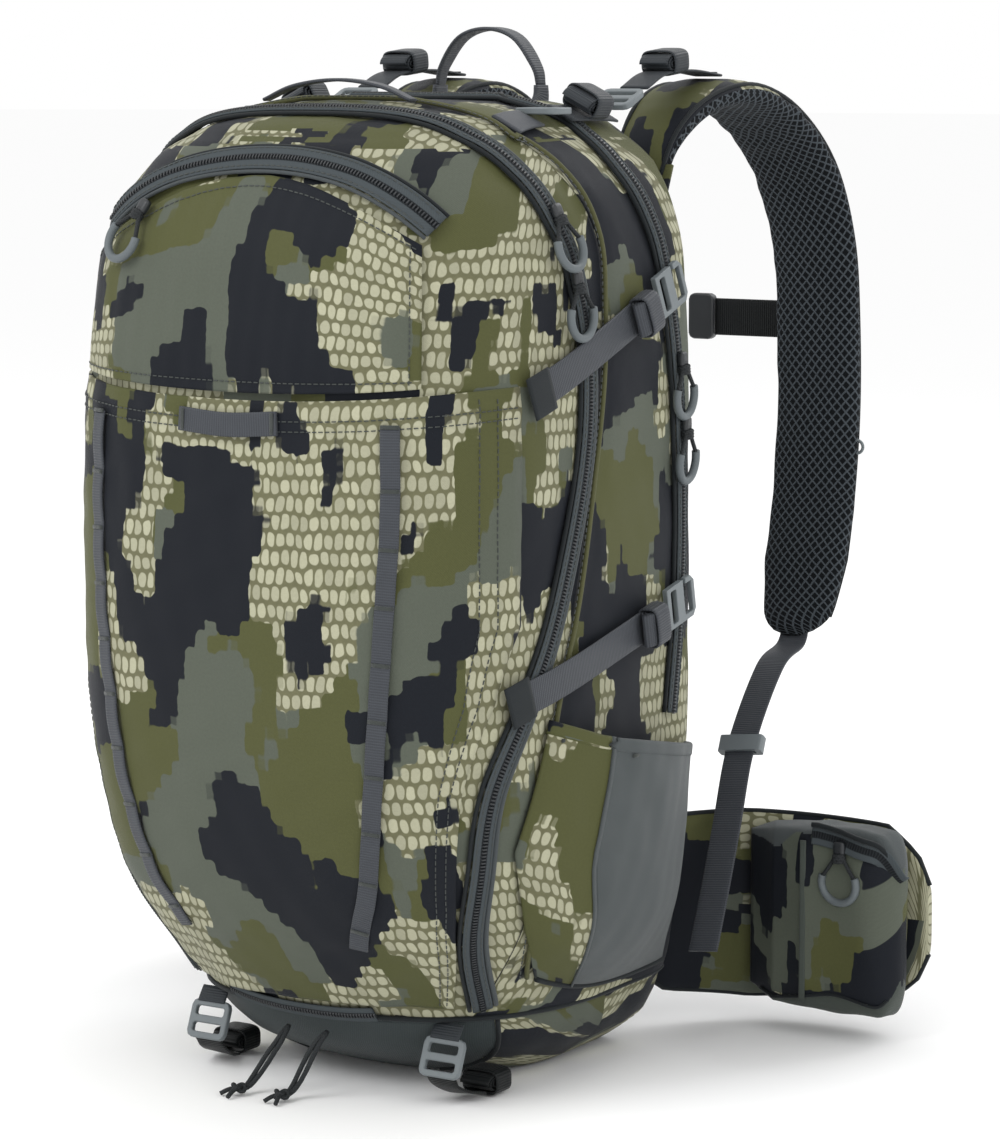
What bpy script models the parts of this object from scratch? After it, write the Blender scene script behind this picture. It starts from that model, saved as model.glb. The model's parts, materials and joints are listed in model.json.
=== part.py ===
"""A hunting day pack: camouflage bag, padded harness, hip belt and all of its hardware.

Metres, +Z up. The pack stands on the floor at z = 0. Its width is along X, its front faces -Y,
and the wearer's side, with the harness and the hip belt, faces +Y.
"""
import math

import bmesh
import bpy
import numpy as np
from mathutils import Matrix, Vector

# ---- driving dimensions ----------------------------------------------------------------------
PACK_HEIGHT = 0.588        # bag alone, without its carry loop
PACK_WIDTH = 0.302
FRONT_DEPTH = 0.160        # from the widest line to the front
BACK_DEPTH = 0.118         # from the widest line to the flat back
BASE_HEIGHT = 0.050        # grey base boot

GAP = 0.0003               # between pieces that touch
ZIP_SEAT = 0.0025          # lift of a zip tape
PANEL_LIFT = 0.0018        # lift of a large sewn-on panel
PANEL_WALL = 0.0020
ZIP_WIDTH = 0.017
ZIP_WALL = 0.0022
WEB_WALL = 0.0017          # webbing thickness
NARROW_WEB = 0.020
WIDE_WEB = 0.025

OVERLAY_TOP = 0.421        # front stash panel
OVERLAY_BOTTOM = 0.064
TOP_ZIP_RISE = 0.554       # crown of the arched top zip
TOP_ZIP_HALF = 0.112

SHEET_WALL = 0.0015        # frame sheet
STAY_WALL = 0.0030
BACK_PAD = 0.0130
LUMBAR_PAD = 0.0180
BACK_TOP = 0.500
BACK_BOTTOM = 0.070
LUMBAR_HALF = 0.078

PAD_WIDTH = 0.062          # shoulder strap
PAD_THICKNESS = 0.0150
WING_THICKNESS = 0.0120
POCKET_DEPTH = 0.040       # hip pocket
BOTTLE_BULGE = 0.026       # side pocket, how far its wall stands off the bag
POCKET_WALL = 0.0025
WING_Y = BACK_DEPTH + SHEET_WALL + STAY_WALL + BACK_PAD + 4 * GAP + 0.0105
WING_HINGE = (LUMBAR_HALF + 0.0075, WING_Y, 0.085)

HOOK_LENGTH = 0.034
HOOK_WIDTH = 0.026
HOOK_WALL = 0.0035
LOCK_LENGTH = 0.024
LOCK_WALL = 0.0040
ROLL_RADIUS = 0.0085
PULL_LENGTH = 0.036
PULL_RADIUS = 0.0122
PULL_WALL = 0.0050
PULL_HOLE = 0.0080
CORD_RADIUS = 0.0022
HAUL_Y = 0.115             # carry loop: its depth, and its lift off the top of the bag
HAUL_LIFT = 0.0065

SIDES = (("R", 1), ("L", -1))

# Height, half width, front, widest line, as shares of the driving sizes, and front roundness.
STATIONS = np.array([
    (0.000, 0.563, 0.075, 0.055, 2.3),
    (0.034, 0.742, 0.375, 0.055, 2.3),
    (0.085, 0.848, 0.550, 0.045, 2.4),
    (0.136, 0.901, 0.675, 0.035, 2.6),
    (0.196, 0.947, 0.825, 0.020, 2.9),
    (0.306, 0.987, 0.950, 0.005, 3.3),
    (0.442, 1.000, 1.000, 0.000, 3.5),
    (0.629, 1.000, 1.000, 0.000, 3.5),
    (0.791, 0.980, 0.963, 0.000, 3.5),
    (0.876, 0.934, 0.900, 0.000, 3.5),
    (0.927, 0.854, 0.806, 0.000, 3.3),
    (0.961, 0.742, 0.688, 0.005, 3.0),
    (0.986, 0.576, 0.513, 0.010, 2.8),
    (1.000, 0.364, 0.281, 0.020, 2.6),
])
BACK_ROUNDNESS = 6.0
BACK_REACH = 0.022         # the rounded section runs past the flat back and is cut off by it

# Seam between the front and the main compartment: height and depth shares.
SEAM = np.array([
    (0.000, -0.320), (0.170, -0.380), (0.405, -0.338), (0.514, -0.200),
    (0.610, -0.112), (0.689, -0.044), (0.767, 0.000), (0.895, 0.000), (0.963, -0.170), (1.0, -0.22),
])

# ---- materials -------------------------------------------------------------------------------
FINISHES = {
    "camo_fabric": ((0.115, 0.125, 0.055), 0.85, 0.0),
    "base_fabric": ((0.048, 0.066, 0.064), 0.75, 0.0),
    "grey_webbing": ((0.072, 0.078, 0.092), 0.80, 0.0),
    "black_webbing": ((0.012, 0.018, 0.018), 0.80, 0.0),
    "mesh_padding": ((0.022, 0.030, 0.038), 0.90, 0.0),
    "zip_tape": ((0.060, 0.072, 0.078), 0.70, 0.0),
    "grey_plastic": ((0.190, 0.215, 0.222), 0.45, 0.0),
    "black_cord": ((0.015, 0.017, 0.018), 0.80, 0.0),
    "frame_plastic": ((0.020, 0.020, 0.022), 0.50, 0.0),
    "frame_aluminium": ((0.700, 0.710, 0.720), 0.35, 1.0),
}


def clear_scene():
    for old in list(bpy.data.objects):
        bpy.data.objects.remove(old, do_unlink=True)


def new_collection(name):
    made = bpy.data.collections.new(name)
    bpy.context.scene.collection.children.link(made)
    return made


def make_material(part, finish):
    """The part's own material, in its finish's colour."""
    colour, roughness, metallic = FINISHES[finish]
    material = bpy.data.materials.new(part + "_" + finish)
    material.use_nodes = True
    shader = material.node_tree.nodes["Principled BSDF"]
    shader.inputs["Base Color"].default_value = (*colour, 1.0)
    shader.inputs["Roughness"].default_value = roughness
    shader.inputs["Metallic"].default_value = metallic
    material.diffuse_color = (*colour, 1.0)
    return material


clear_scene()
PACK = new_collection("hunting_backpack")


def add_object(name, data, finish):
    made = bpy.data.objects.new(name, data)
    PACK.objects.link(made)
    data.materials.append(make_material(name, finish))
    return made


# ---- the bag's outer form --------------------------------------------------------------------
def hermite(value, knots, column):
    """Smooth interpolation of one column of a table by its first column."""
    places, values = knots[:, 0], knots[:, column]
    value = np.clip(value, places[0], places[-1])
    slopes = np.gradient(values, places)
    i = np.clip(np.searchsorted(places, value) - 1, 0, len(places) - 2)
    span = places[i + 1] - places[i]
    t = (value - places[i]) / span
    ends = (2 * t**3 - 3 * t**2 + 1) * values[i] + (3 * t**2 - 2 * t**3) * values[i + 1]
    return ends + (t**3 - 2 * t**2 + t) * span * slopes[i] + (t**3 - t**2) * span * slopes[i + 1]


def form_at(z):
    """Half width, front, widest line, back and front roundness of the bag at height z."""
    share = np.asarray(z, float) / PACK_HEIGHT
    half = hermite(share, STATIONS, 1) * PACK_WIDTH / 2
    front = -hermite(share, STATIONS, 2) * FRONT_DEPTH
    middle = hermite(share, STATIONS, 3)
    back = np.full_like(half, BACK_DEPTH + BACK_REACH) - 0.03 * np.clip(share - 0.94, 0, 1) / 0.06
    return half, front, middle, back, hermite(share, STATIONS, 4)


def seam_at(z):
    share = np.asarray(z, float) / PACK_HEIGHT
    return hermite(share, SEAM, 1) * FRONT_DEPTH


def gauge(points):
    """Zero on the bag's surface, below zero inside and above zero outside."""
    half, front, middle, back, roundness = form_at(points[:, 2])
    ahead = points[:, 1] < middle
    power = np.where(ahead, roundness, BACK_ROUNDNESS)
    depth = np.where(ahead, middle - front, back - middle)
    across = np.abs(points[:, 0] / half) ** power
    along = np.abs((points[:, 1] - middle) / depth) ** power
    return (across + along) ** (1 / power) - 1


def slope_of_gauge(points):
    step = 2e-4
    slopes = [gauge(points + step * axis) - gauge(points - step * axis) for axis in np.eye(3)]
    return np.stack(slopes, axis=1) / (2 * step)


def on_bag(points, lift=0.0):
    """Points moved onto the bag's surface, then lifted off it along its normal."""
    points = np.array(points, float)
    at_top = points * (1, 1, 0) + (0, 0, PACK_HEIGHT)
    capped = (gauge(at_top) < 0) & (points[:, 2] > 0.9 * PACK_HEIGHT)
    for _ in range(12):
        slope = slope_of_gauge(points)
        step = (gauge(points) / (slope**2).sum(axis=1))[:, None] * slope
        points = np.where(capped[:, None], at_top, points - step)
    slope = slope_of_gauge(points)
    normal = slope / np.linalg.norm(slope, axis=1)[:, None]
    normal[capped] = (0.0, 0.0, 1.0)
    return points + lift * normal, normal


def section(z, first_angle, last_angle, count):
    """One level loop of the bag between two angles, with its back cut flat."""
    angle = np.linspace(first_angle, last_angle, count)
    half, front, middle, back, roundness = form_at(np.full(count, z))
    cosine, sine = np.cos(angle), np.sin(angle)
    power = np.where(sine < 0, roundness, BACK_ROUNDNESS)
    depth = np.where(sine < 0, middle - front, back - middle)
    x = half * np.sign(cosine) * np.abs(cosine) ** (2 / power)
    y = middle + depth * np.sign(sine) * np.abs(sine) ** (2 / power)
    return np.stack([x, np.minimum(y, BACK_DEPTH), np.full(count, z)], axis=1)


def seam_angle(z, y):
    """Angle at which the section at height z passes depth y on the +X side."""
    _, front, middle, back, roundness = (float(v) for v in form_at(z))
    if y < middle:
        return -math.asin(min(1.0, ((middle - y) / (middle - front)) ** (roundness / 2)))
    return math.asin(min(1.0, ((y - middle) / (back - middle)) ** (BACK_ROUNDNESS / 2)))


# ---- shapes ----------------------------------------------------------------------------------
def smooth_path(points, step):
    """A Catmull-Rom curve through the points, read again at an even step."""
    p = np.array(points, float)
    p = np.concatenate([2 * p[:1] - p[1:2], p, 2 * p[-1:] - p[-2:-1]])
    t = np.linspace(0, 1, 24, endpoint=False)[:, None]
    runs = []
    for a, b, c, d in zip(p, p[1:], p[2:], p[3:]):
        runs.append(0.5 * (2 * b + (c - a) * t + (2 * a - 5 * b + 4 * c - d) * t**2
                           + (3 * b - a - 3 * c + d) * t**3))
    fine = np.concatenate(runs + [p[-2:-1]])
    length = np.concatenate([[0], np.cumsum(np.linalg.norm(np.diff(fine, axis=0), axis=1))])
    places = np.linspace(0, length[-1], max(3, int(round(length[-1] / step)) + 1))
    return np.stack([np.interp(places, length, fine[:, k]) for k in range(3)], axis=1)


def unit(vectors):
    return vectors / np.linalg.norm(vectors, axis=-1, keepdims=True)


def sheet(name, grid, wall, finish, offset=1.0):
    """An open surface of rows and columns of points, given its wall by Solidify."""
    rows, columns = grid.shape[:2]
    index = np.arange(rows * columns).reshape(rows, columns)
    faces = np.stack([index[:-1, :-1], index[1:, :-1], index[1:, 1:], index[:-1, 1:]], axis=-1)
    mesh = bpy.data.meshes.new(name)
    mesh.from_pydata(grid.reshape(-1, 3).tolist(), [], faces.reshape(-1, 4).tolist())
    made = add_object(name, mesh, finish)
    solidify = made.modifiers.new("wall", "SOLIDIFY")
    solidify.thickness = wall
    solidify.offset = offset
    solidify.use_even_offset = False
    return made


def loft(name, rings, finish):
    """Loops of equal length joined by faces and closed at both ends."""
    rings = np.asarray(rings, float)
    count, around = rings.shape[:2]
    mesh = bpy.data.meshes.new(name)
    shape = bmesh.new()
    verts = [[shape.verts.new(p) for p in ring] for ring in rings]
    for low, high in zip(verts, verts[1:]):
        for k in range(around):
            n = (k + 1) % around
            shape.faces.new((low[k], low[n], high[n], high[k]))
    shape.faces.new(verts[0])
    shape.faces.new(verts[-1])
    bmesh.ops.remove_doubles(shape, verts=shape.verts, dist=1e-6)
    bmesh.ops.recalc_face_normals(shape, faces=shape.faces)
    shape.to_mesh(mesh)
    shape.free()
    made = add_object(name, mesh, finish)
    mesh.shade_smooth()
    mesh.set_sharp_from_angle(angle=math.radians(40))
    return made


def rounded_ring(centre, across, up, half_across, half_up, roundness=3.5, count=14):
    """One rounded rectangular loop about a centre, spanned by two unit vectors."""
    angle = np.linspace(0, 2 * math.pi, count, endpoint=False)
    a = np.sign(np.cos(angle)) * np.abs(np.cos(angle)) ** (2 / roundness) * half_across
    b = np.sign(np.sin(angle)) * np.abs(np.sin(angle)) ** (2 / roundness) * half_up
    return centre + a[:, None] * across + b[:, None] * up


def strip_on_bag(name, route, width, lift, wall, finish, step=0.010, columns=2):
    """A flat strip sewn along a route on the bag: zip, seam tape or webbing."""
    middle, normal = on_bag(smooth_path(route, step), lift)
    tangent = unit(np.gradient(middle, axis=0))
    side = unit(np.cross(normal, tangent))
    places = np.linspace(-0.5, 0.5, columns) * width
    grid = middle[:, None, :] + places[None, :, None] * side[:, None, :]
    if columns > 2:
        grid = on_bag(grid.reshape(-1, 3), lift)[0].reshape(grid.shape)
    return sheet(name, grid, wall, finish)


def webbing(name, route, width, across, wall, finish, step=0.010):
    """Free webbing along a route, flat along the given direction; width may be a list."""
    middle = smooth_path(route, step)
    tangent = unit(np.gradient(middle, axis=0))
    across = np.broadcast_to(np.asarray(across, float), middle.shape)
    side = unit(across - (across * tangent).sum(axis=1)[:, None] * tangent)
    width = np.interp(np.linspace(0, 1, len(middle)), np.linspace(0, 1, np.size(width)),
                      np.atleast_1d(width))
    grid = np.stack([middle - side * width[:, None] / 2, middle + side * width[:, None] / 2], axis=1)
    return sheet(name, grid, wall, finish, offset=0.0)


def frame_matrix(origin, x_axis, y_axis):
    """A placing matrix from an origin, an X axis and a rough Y axis."""
    x = Vector(x_axis).normalized()
    z = x.cross(Vector(y_axis)).normalized()
    y = z.cross(x)
    turn = Matrix((x, y, z)).transposed().to_4x4()
    return Matrix.Translation(Vector(origin)) @ turn


def outline(name, loops, wall, place, finish):
    """A flat outline with holes, extruded to its wall, and placed by a matrix."""
    curve = bpy.data.curves.new(name, "CURVE")
    curve.dimensions = "2D"
    curve.fill_mode = "BOTH"
    curve.extrude = wall / 2
    for loop in loops:
        spline = curve.splines.new("POLY")
        spline.points.add(len(loop) - 1)
        spline.points.foreach_set("co", [v for x, y in loop for v in (x, y, 0.0, 1.0)])
        spline.use_cyclic_u = True
    made = add_object(name, curve, finish)
    made.matrix_world = place
    return made


def rounded_box(half_x, half_y, radius, centre=(0.0, 0.0), steps=3):
    """Corners of a rectangle with quarter-round corners."""
    points = []
    corners = ((1, 1, 0), (-1, 1, 90), (-1, -1, 180), (1, -1, 270))
    for sx, sy, start in corners:
        for k in range(steps + 1):
            angle = math.radians(start + 90 * k / steps)
            points.append((centre[0] + sx * (half_x - radius) + radius * math.cos(angle),
                           centre[1] + sy * (half_y - radius) + radius * math.sin(angle)))
    return points


def mirrored(points, side):
    return [(side * x, y, z) for x, y, z in points]


def turn_about(made, pivot):
    """Puts a mesh object's origin on its joint's axis, with its shape where it was."""
    made.data.transform(Matrix.Translation(-Vector(pivot)))
    made.location = pivot
    return made


# ---- bag -------------------------------------------------------------------------------------
def build_compartments():
    low = BASE_HEIGHT + GAP
    levels = np.concatenate([np.linspace(low, 0.14, 6), np.linspace(0.18, 0.46, 6),
                             np.linspace(0.49, 0.588, 9)])
    levels = np.concatenate([levels[:1], levels[1:] / 0.588 * PACK_HEIGHT])
    front, main = [], []
    for z in levels:
        seam = float(seam_at(z))
        start = seam_angle(z, seam - GAP)
        front.append(section(z, -math.pi - start, start, 30))
        start = seam_angle(z, seam + GAP)
        main.append(section(z, start, math.pi - start, 26))
    loft("front_compartment", front, "camo_fabric")
    loft("main_compartment", main, "camo_fabric")


def build_base():
    levels = BASE_HEIGHT * np.array([0.0, 0.1, 0.25, 0.45, 0.7, 1.0])
    rings = [section(z, 0, 2 * math.pi * (1 - 1 / 36), 36) for z in levels]
    loft("base_boot", rings, "base_fabric")


def front_grid(low, high, half_reach, rows, columns, lift):
    """A patch on the front: low and high are functions of x for its bottom and top edge."""
    x = np.linspace(-half_reach, half_reach, columns)
    share = np.linspace(0, 1, rows)[:, None]
    z = low(x)[None, :] * (1 - share) + high(x)[None, :] * share
    half, front, middle, _, power = form_at(z)
    narrowing = np.interp(z / PACK_HEIGHT, [0.105, 0.17, 0.22, 0.34, 0.425, 0.50],
                          [0.715, 0.785, 0.825, 0.880, 0.960, 1.0])
    reach = np.abs(x)[None, :] / (PACK_WIDTH / 2) * narrowing
    angle = -math.pi / 2 + np.sign(x)[None, :] * np.arccos(np.sqrt(1 - reach**power))
    sine, cosine = np.sin(angle), np.cos(angle)
    px = half * np.sign(cosine) * np.abs(cosine) ** (2 / power)
    py = middle - (middle - front) * np.abs(sine) ** (2 / power)
    points = np.stack([px, py, z], axis=-1)
    lifted, _ = on_bag(points.reshape(-1, 3), lift)
    return lifted.reshape(points.shape)


def top_zip_height(x):
    return TOP_ZIP_RISE - 2.8 * x**2


def build_front():
    """Stash panel with its handle, top pocket panel and arched zip."""
    flat = np.ones_like
    grid = front_grid(lambda x: OVERLAY_BOTTOM * flat(x), lambda x: OVERLAY_TOP * flat(x),
                      0.1455, 15, 27, PANEL_LIFT)
    sheet("front_overlay", grid.transpose(1, 0, 2), PANEL_WALL, "camo_fabric")
    grid = front_grid(lambda x: (OVERLAY_TOP + 0.004) * flat(x),
                      lambda x: top_zip_height(x) - ZIP_WIDTH / 2 - 0.001,
                      TOP_ZIP_HALF, 5, 17, PANEL_LIFT)
    sheet("top_pocket_panel", grid.transpose(1, 0, 2), PANEL_WALL, "camo_fabric")
    x = np.linspace(-TOP_ZIP_HALF, TOP_ZIP_HALF, 13)
    arch = np.stack([x, -0.12 * flat(x), top_zip_height(x)], axis=1)
    strip_on_bag("top_pocket_zip", arch, ZIP_WIDTH, ZIP_SEAT, ZIP_WALL, "zip_tape", 0.012)
    proud = PANEL_LIFT + PANEL_WALL + 0.0006
    handle = [(-0.034, -0.16, OVERLAY_TOP - 0.012), (0.0, -0.16, OVERLAY_TOP - 0.014),
              (0.034, -0.16, OVERLAY_TOP - 0.012)]
    strip_on_bag("front_handle", handle, 0.013, proud + 0.001, WEB_WALL, "grey_webbing", 0.008)


def build_zips():
    side_run = [(0.1, -0.056, 0.062), (0.120, -0.093, 0.10), (0.130, -0.103, 0.15),
                (0.137, -0.103, 0.20), (0.146, -0.080, 0.25), (0.149, -0.062, 0.285),
                (0.151, -0.045, 0.327), (0.151, -0.028, 0.377), (0.150, -0.022, 0.417),
                (0.149, -0.023, 0.458), (0.145, -0.031, 0.495), (0.138, -0.043, 0.524),
                (0.120, -0.058, 0.553), (0.090, -0.068, 0.572)]
    route = side_run + [(0.045, -0.073, 0.581), (0.0, -0.074, 0.582), (-0.045, -0.073, 0.581)]
    route += [(-x, y, z) for x, y, z in reversed(side_run)]
    strip_on_bag("front_zip", route, 0.012, ZIP_SEAT, ZIP_WALL, "zip_tape", 0.016)
    rear_run = [(0.150, 0.078, 0.220), (0.150, 0.086, 0.276), (0.150, 0.089, 0.336),
                (0.149, 0.087, 0.397), (0.148, 0.081, 0.452), (0.145, 0.074, 0.494),
                (0.138, 0.066, 0.523), (0.128, 0.055, 0.546), (0.110, 0.047, 0.562)]
    route = rear_run + [(0.080, 0.044, 0.579), (0.0, 0.042, 0.588), (-0.080, 0.044, 0.579)]
    route += [(-x, y, z) for x, y, z in reversed(rear_run)]
    strip_on_bag("main_zip", route, 0.012, ZIP_SEAT, ZIP_WALL, "zip_tape", 0.011)


def pull_tab(name, spot, hang, finish="grey_plastic"):
    """A zip slider with its finger ring, hung along hang; its origin is the edge that it flips on."""
    seated, normal = on_bag([spot], ZIP_SEAT + ZIP_WALL + GAP + PULL_WALL / 2)
    neck, slider = 0.0026, 0.0045
    ring_centre = PULL_LENGTH - PULL_RADIUS
    start = math.asin(neck / PULL_RADIUS)
    angles = np.linspace(start, 2 * math.pi - start, 15)
    ring = [(ring_centre - PULL_RADIUS * math.cos(a), PULL_RADIUS * math.sin(a)) for a in angles]
    body = [(2 * slider, -neck), (2 * slider, -slider), (0, -slider), (0, slider),
            (2 * slider, slider), (2 * slider, neck)]
    hole = [(ring_centre + PULL_HOLE * math.cos(a), PULL_HOLE * math.sin(a))
            for a in np.linspace(0, 2 * math.pi, 12, endpoint=False)]
    z = Vector(normal[0])
    x = (Vector(hang) - Vector(hang).dot(z) * z).normalized()
    place = frame_matrix(seated[0], x, z.cross(x))
    return outline(name, [body + ring, hole], PULL_WALL, place, finish)


def build_pulls():
    pull_tab("top_zip_pull", (-0.085, -0.130, 0.530), (-0.35, 0, -1))
    pull_tab("front_zip_pull_upper", (0.138, -0.043, 0.529), (0, 0.10, -1))
    pull_tab("front_zip_pull_lower", (0.145, -0.034, 0.4915), (0, 0.02, -1))
    pull_tab("main_zip_pull_upper", (0.148, 0.083, 0.438), (0, 0.06, -1))
    pull_tab("main_zip_pull_lower", (0.149, 0.088, 0.3990), (0, 0.02, -1))


def build_side_pocket(tag, side):
    """A bottle pocket: one curved wall, sewn to the bag at its front, back and bottom."""
    columns, rows = 15, 9
    u = np.linspace(0, 1, columns)
    v = np.linspace(0, 1, rows) ** 1.3
    top = np.interp(u, [0, 0.2, 0.55, 1], [0.232, 0.220, 0.209, 0.194]) * PACK_HEIGHT / 0.588
    low = np.interp(u, [0, 0.3, 0.7, 1], [0.058, 0.053, 0.050, 0.050]) + 0.002
    z = low + v[:, None] * (top - low)[None, :]
    edge = np.interp(z[:, 0] / PACK_HEIGHT, [0.09, 0.17, 0.27, 0.40], [-0.28, -0.43, -0.55, -0.39])
    edge = edge * FRONT_DEPTH
    y = edge[:, None] + u[None, :] * (BACK_DEPTH - 0.016 - edge[:, None])
    points = np.stack([np.full_like(y, side * PACK_WIDTH / 2), y, z], axis=-1).reshape(-1, 3)
    seated, normal = on_bag(points)
    swell = np.sin(math.pi * u)[None, :] ** 0.8 * np.sin(np.minimum(v * 2.2, 1) * math.pi / 2)[:, None]
    lift = 0.0010 + BOTTLE_BULGE * swell.reshape(-1)
    grid = (seated + normal * lift[:, None]).reshape(rows, columns, 3)
    if side > 0:
        grid = grid.transpose(1, 0, 2)
    sheet("side_pocket_" + tag, grid, POCKET_WALL, "camo_fabric")


def side_route(side, start, end, count=9):
    t = np.linspace(0, 1, count)
    y = start[0] + t * (end[0] - start[0])
    z = start[1] + t * (end[1] - start[1])
    return np.stack([np.full(count, side * PACK_WIDTH / 2), y, z], axis=1)


def build_compression(tag, side):
    """Two side straps, each ending in a hook whose origin is the edge that it turns out on."""
    rows = (("upper", (-0.080, 0.424), (0.048, 0.4685), (0.0555, 0.4715)),
            ("lower", (-0.098, 0.249), (0.054, 0.2825), (0.0615, 0.2845)))
    for level, start, end, hook in rows:
        lift = ZIP_SEAT + ZIP_WALL + 0.0007
        strip_on_bag("side_strap_%s_%s" % (level, tag), side_route(side, start, end), NARROW_WEB,
                     lift, WEB_WALL, "grey_webbing", 0.011)
        seated, normal = on_bag([(side * PACK_WIDTH / 2, *hook)], lift + HOOK_WALL / 2)
        run = Vector((0, end[0] - start[0], end[1] - start[1])).normalized()
        z = Vector(normal[0])
        x = (run - run.dot(z) * z).normalized()
        place = frame_matrix(seated[0], x, z.cross(x))
        bar, mouth = 0.0035, 0.0045
        lx, ly, post = HOOK_LENGTH, HOOK_WIDTH / 2, HOOK_LENGTH / 2 + bar
        shape = [(0, -ly), (lx - 0.004, -ly), (lx, -ly + 0.004), (lx, ly - 0.004), (lx - 0.004, ly),
                 (lx - 0.006 - mouth, ly), (lx - 0.006 - mouth, ly - bar), (lx - bar, ly - bar),
                 (lx - bar, -ly + bar), (post, -ly + bar), (post, ly), (0, ly)]
        slot = rounded_box(0.0035, NARROW_WEB / 2 + 0.0004, 0.001, (lx / 4 - 0.0005, 0.0), 1)
        outline("side_hook_%s_%s" % (level, tag), [shape, slot], HOOK_WALL, place, "grey_plastic")


# ---- back and frame --------------------------------------------------------------------------
def back_plate(name, half_x, low, high, y, wall, radius, finish, holes=()):
    """An upright plate on the back; its near face is at depth y."""
    middle = (low + high) / 2
    place = frame_matrix((0, y + wall / 2, middle), (1, 0, 0), (0, 0, 1))
    loops = [rounded_box(half_x, (high - low) / 2, radius, steps=4)]
    loops += [rounded_box(hx, (top - bottom) / 2, r, (cx, (top + bottom) / 2 - middle), 2)
              for cx, hx, bottom, top, r in holes]
    return outline(name, loops, wall, place, finish)


def build_back():
    sheet_y = BACK_DEPTH + GAP
    stay_y = sheet_y + SHEET_WALL + GAP
    pad_y = stay_y + STAY_WALL + GAP
    lumbar_y = pad_y + BACK_PAD + GAP
    back_plate("frame_sheet", 0.112, BACK_BOTTOM, BACK_TOP, sheet_y, SHEET_WALL, 0.03, "frame_plastic")
    back_plate("frame_stay", 0.085, BACK_BOTTOM + 0.01, BACK_TOP - 0.01, stay_y, STAY_WALL, 0.03,
               "frame_aluminium", holes=[(0, 0.072, BACK_BOTTOM + 0.023, BACK_TOP - 0.023, 0.018)])
    back_plate("back_panel", 0.122, BACK_BOTTOM - 0.01, BACK_TOP, pad_y, BACK_PAD, 0.035, "mesh_padding")
    back_plate("lumbar_pad", LUMBAR_HALF, 0.030, 0.150, lumbar_y, LUMBAR_PAD, 0.025, "mesh_padding")



def wing_line(side):
    """Middle line of a hip-belt wing in plan, from its hinge to its end."""
    x, y, _ = WING_HINGE
    plan = [(x, y, 0), (x + 0.0195, y + 0.031, 0), (x + 0.0445, y + 0.058, 0),
            (x + 0.0795, y + 0.075, 0), (x + 0.1220, y + 0.082, 0), (x + 0.1720, y + 0.077, 0)]
    return smooth_path(mirrored(plan, side), 0.0165)


def build_belt(tag, side):
    """A padded wing, its zipped pocket, its webbing and its half of the buckle."""
    line = wing_line(side)
    tangent = unit(np.gradient(line, axis=0))
    up = np.array([0.0, 0.0, 1.0])
    normal = unit(np.cross(tangent, up)) * side
    share = np.linspace(0, 1, len(line))
    half = np.interp(share, [0, 0.12, 0.4, 0.85, 1], [0.040, 0.056, 0.060, 0.056, 0.034])
    thick = np.interp(share, [0, 0.1, 0.9, 1], [0.0045, 0.006, 0.006, 0.0035])
    centre_z = np.interp(share, [0, 0.4, 1], [0.080, 0.0755, 0.0755])
    rings = [rounded_ring(p + up * cz, n, up, t, h, 3.0, 14)
             for p, n, t, h, cz in zip(line, normal, thick, half, centre_z)]
    wing = turn_about(loft("hip_wing_" + tag, rings, "camo_fabric"), (side * WING_HINGE[0],
                                                                      *WING_HINGE[1:]))
    start, stop = 0.42, 0.985
    places = np.linspace(start, stop, 9)
    t = (places - start) / (stop - start)
    depth = POCKET_DEPTH * np.interp(t, [0, 0.15, 0.4, 0.85, 1], [0.30, 0.72, 1.0, 0.92, 0.45])
    height = np.interp(t, [0, 0.15, 0.5, 0.9, 1], [0.050, 0.057, 0.0610, 0.059, 0.052])
    rings = []
    for place, deep, tall in zip(places, depth, height):
        at = np.array([np.interp(place, share, line[:, k]) for k in range(3)])
        out = unit(np.array([np.interp(place, share, normal[:, k]) for k in range(3)]))
        at = at + out * (WING_THICKNESS / 2 + 0.001 + deep / 2)
        cz = np.interp(place, share, centre_z)
        rings.append(rounded_ring(at + up * cz, out, up, deep / 2, tall, 5.0, 16))
    pocket = loft("hip_pocket_" + tag, rings, "camo_fabric")
    pocket.parent = wing
    pocket.matrix_parent_inverse = Matrix.Translation(-wing.location)
    end, toward = line[-1], tangent[-1]
    inner = -normal
    gap = WING_THICKNESS / 2 + 0.003
    tip = end + inner[-1] * gap - toward * 0.006 + up * 0.072
    route = [tip, tip - toward * 0.012 + inner[-1] * 0.006,
             line[-3] + inner[-3] * (gap + 0.012) + up * 0.070,
             line[-5] + inner[-5] * (gap + 0.008) + up * 0.068]
    strap = webbing("belt_webbing_" + tag, route, WIDE_WEB, (0, 0, 1), WEB_WALL, "grey_webbing", 0.009)
    strap.parent = wing
    strap.matrix_parent_inverse = Matrix.Translation(-wing.location)
    at = line[-6] + inner[-6] * (gap + 0.0085) + up * 0.0675
    run = unit(line[-6] - line[-5])
    place = frame_matrix(at + run * 0.0155, run, up)
    if side > 0:
        loops = [rounded_box(0.0215, 0.019, 0.006, steps=2),
                 rounded_box(0.0035, 0.0130, 0.001, (-0.014, 0), 1)]
        buckle = outline("belt_buckle_socket", loops, 0.0090, place, "grey_plastic")
    else:
        prong = [(0.002, -0.016), (0.018, -0.014), (0.0215, -0.010), (0.0215, -0.006),
                 (0.006, -0.006), (0.006, 0.006), (0.0215, 0.006), (0.0215, 0.010),
                 (0.018, 0.014), (0.002, 0.016), (-0.0215, 0.016), (-0.0215, -0.016)]
        loops = [prong, rounded_box(0.0035, 0.0130, 0.001, (-0.013, 0), 1)]
        buckle = outline("belt_buckle_plug", loops, 0.0060, place, "grey_plastic")
    buckle.parent = wing
    buckle.matrix_parent_inverse = Matrix.Translation(-wing.location)


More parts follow.
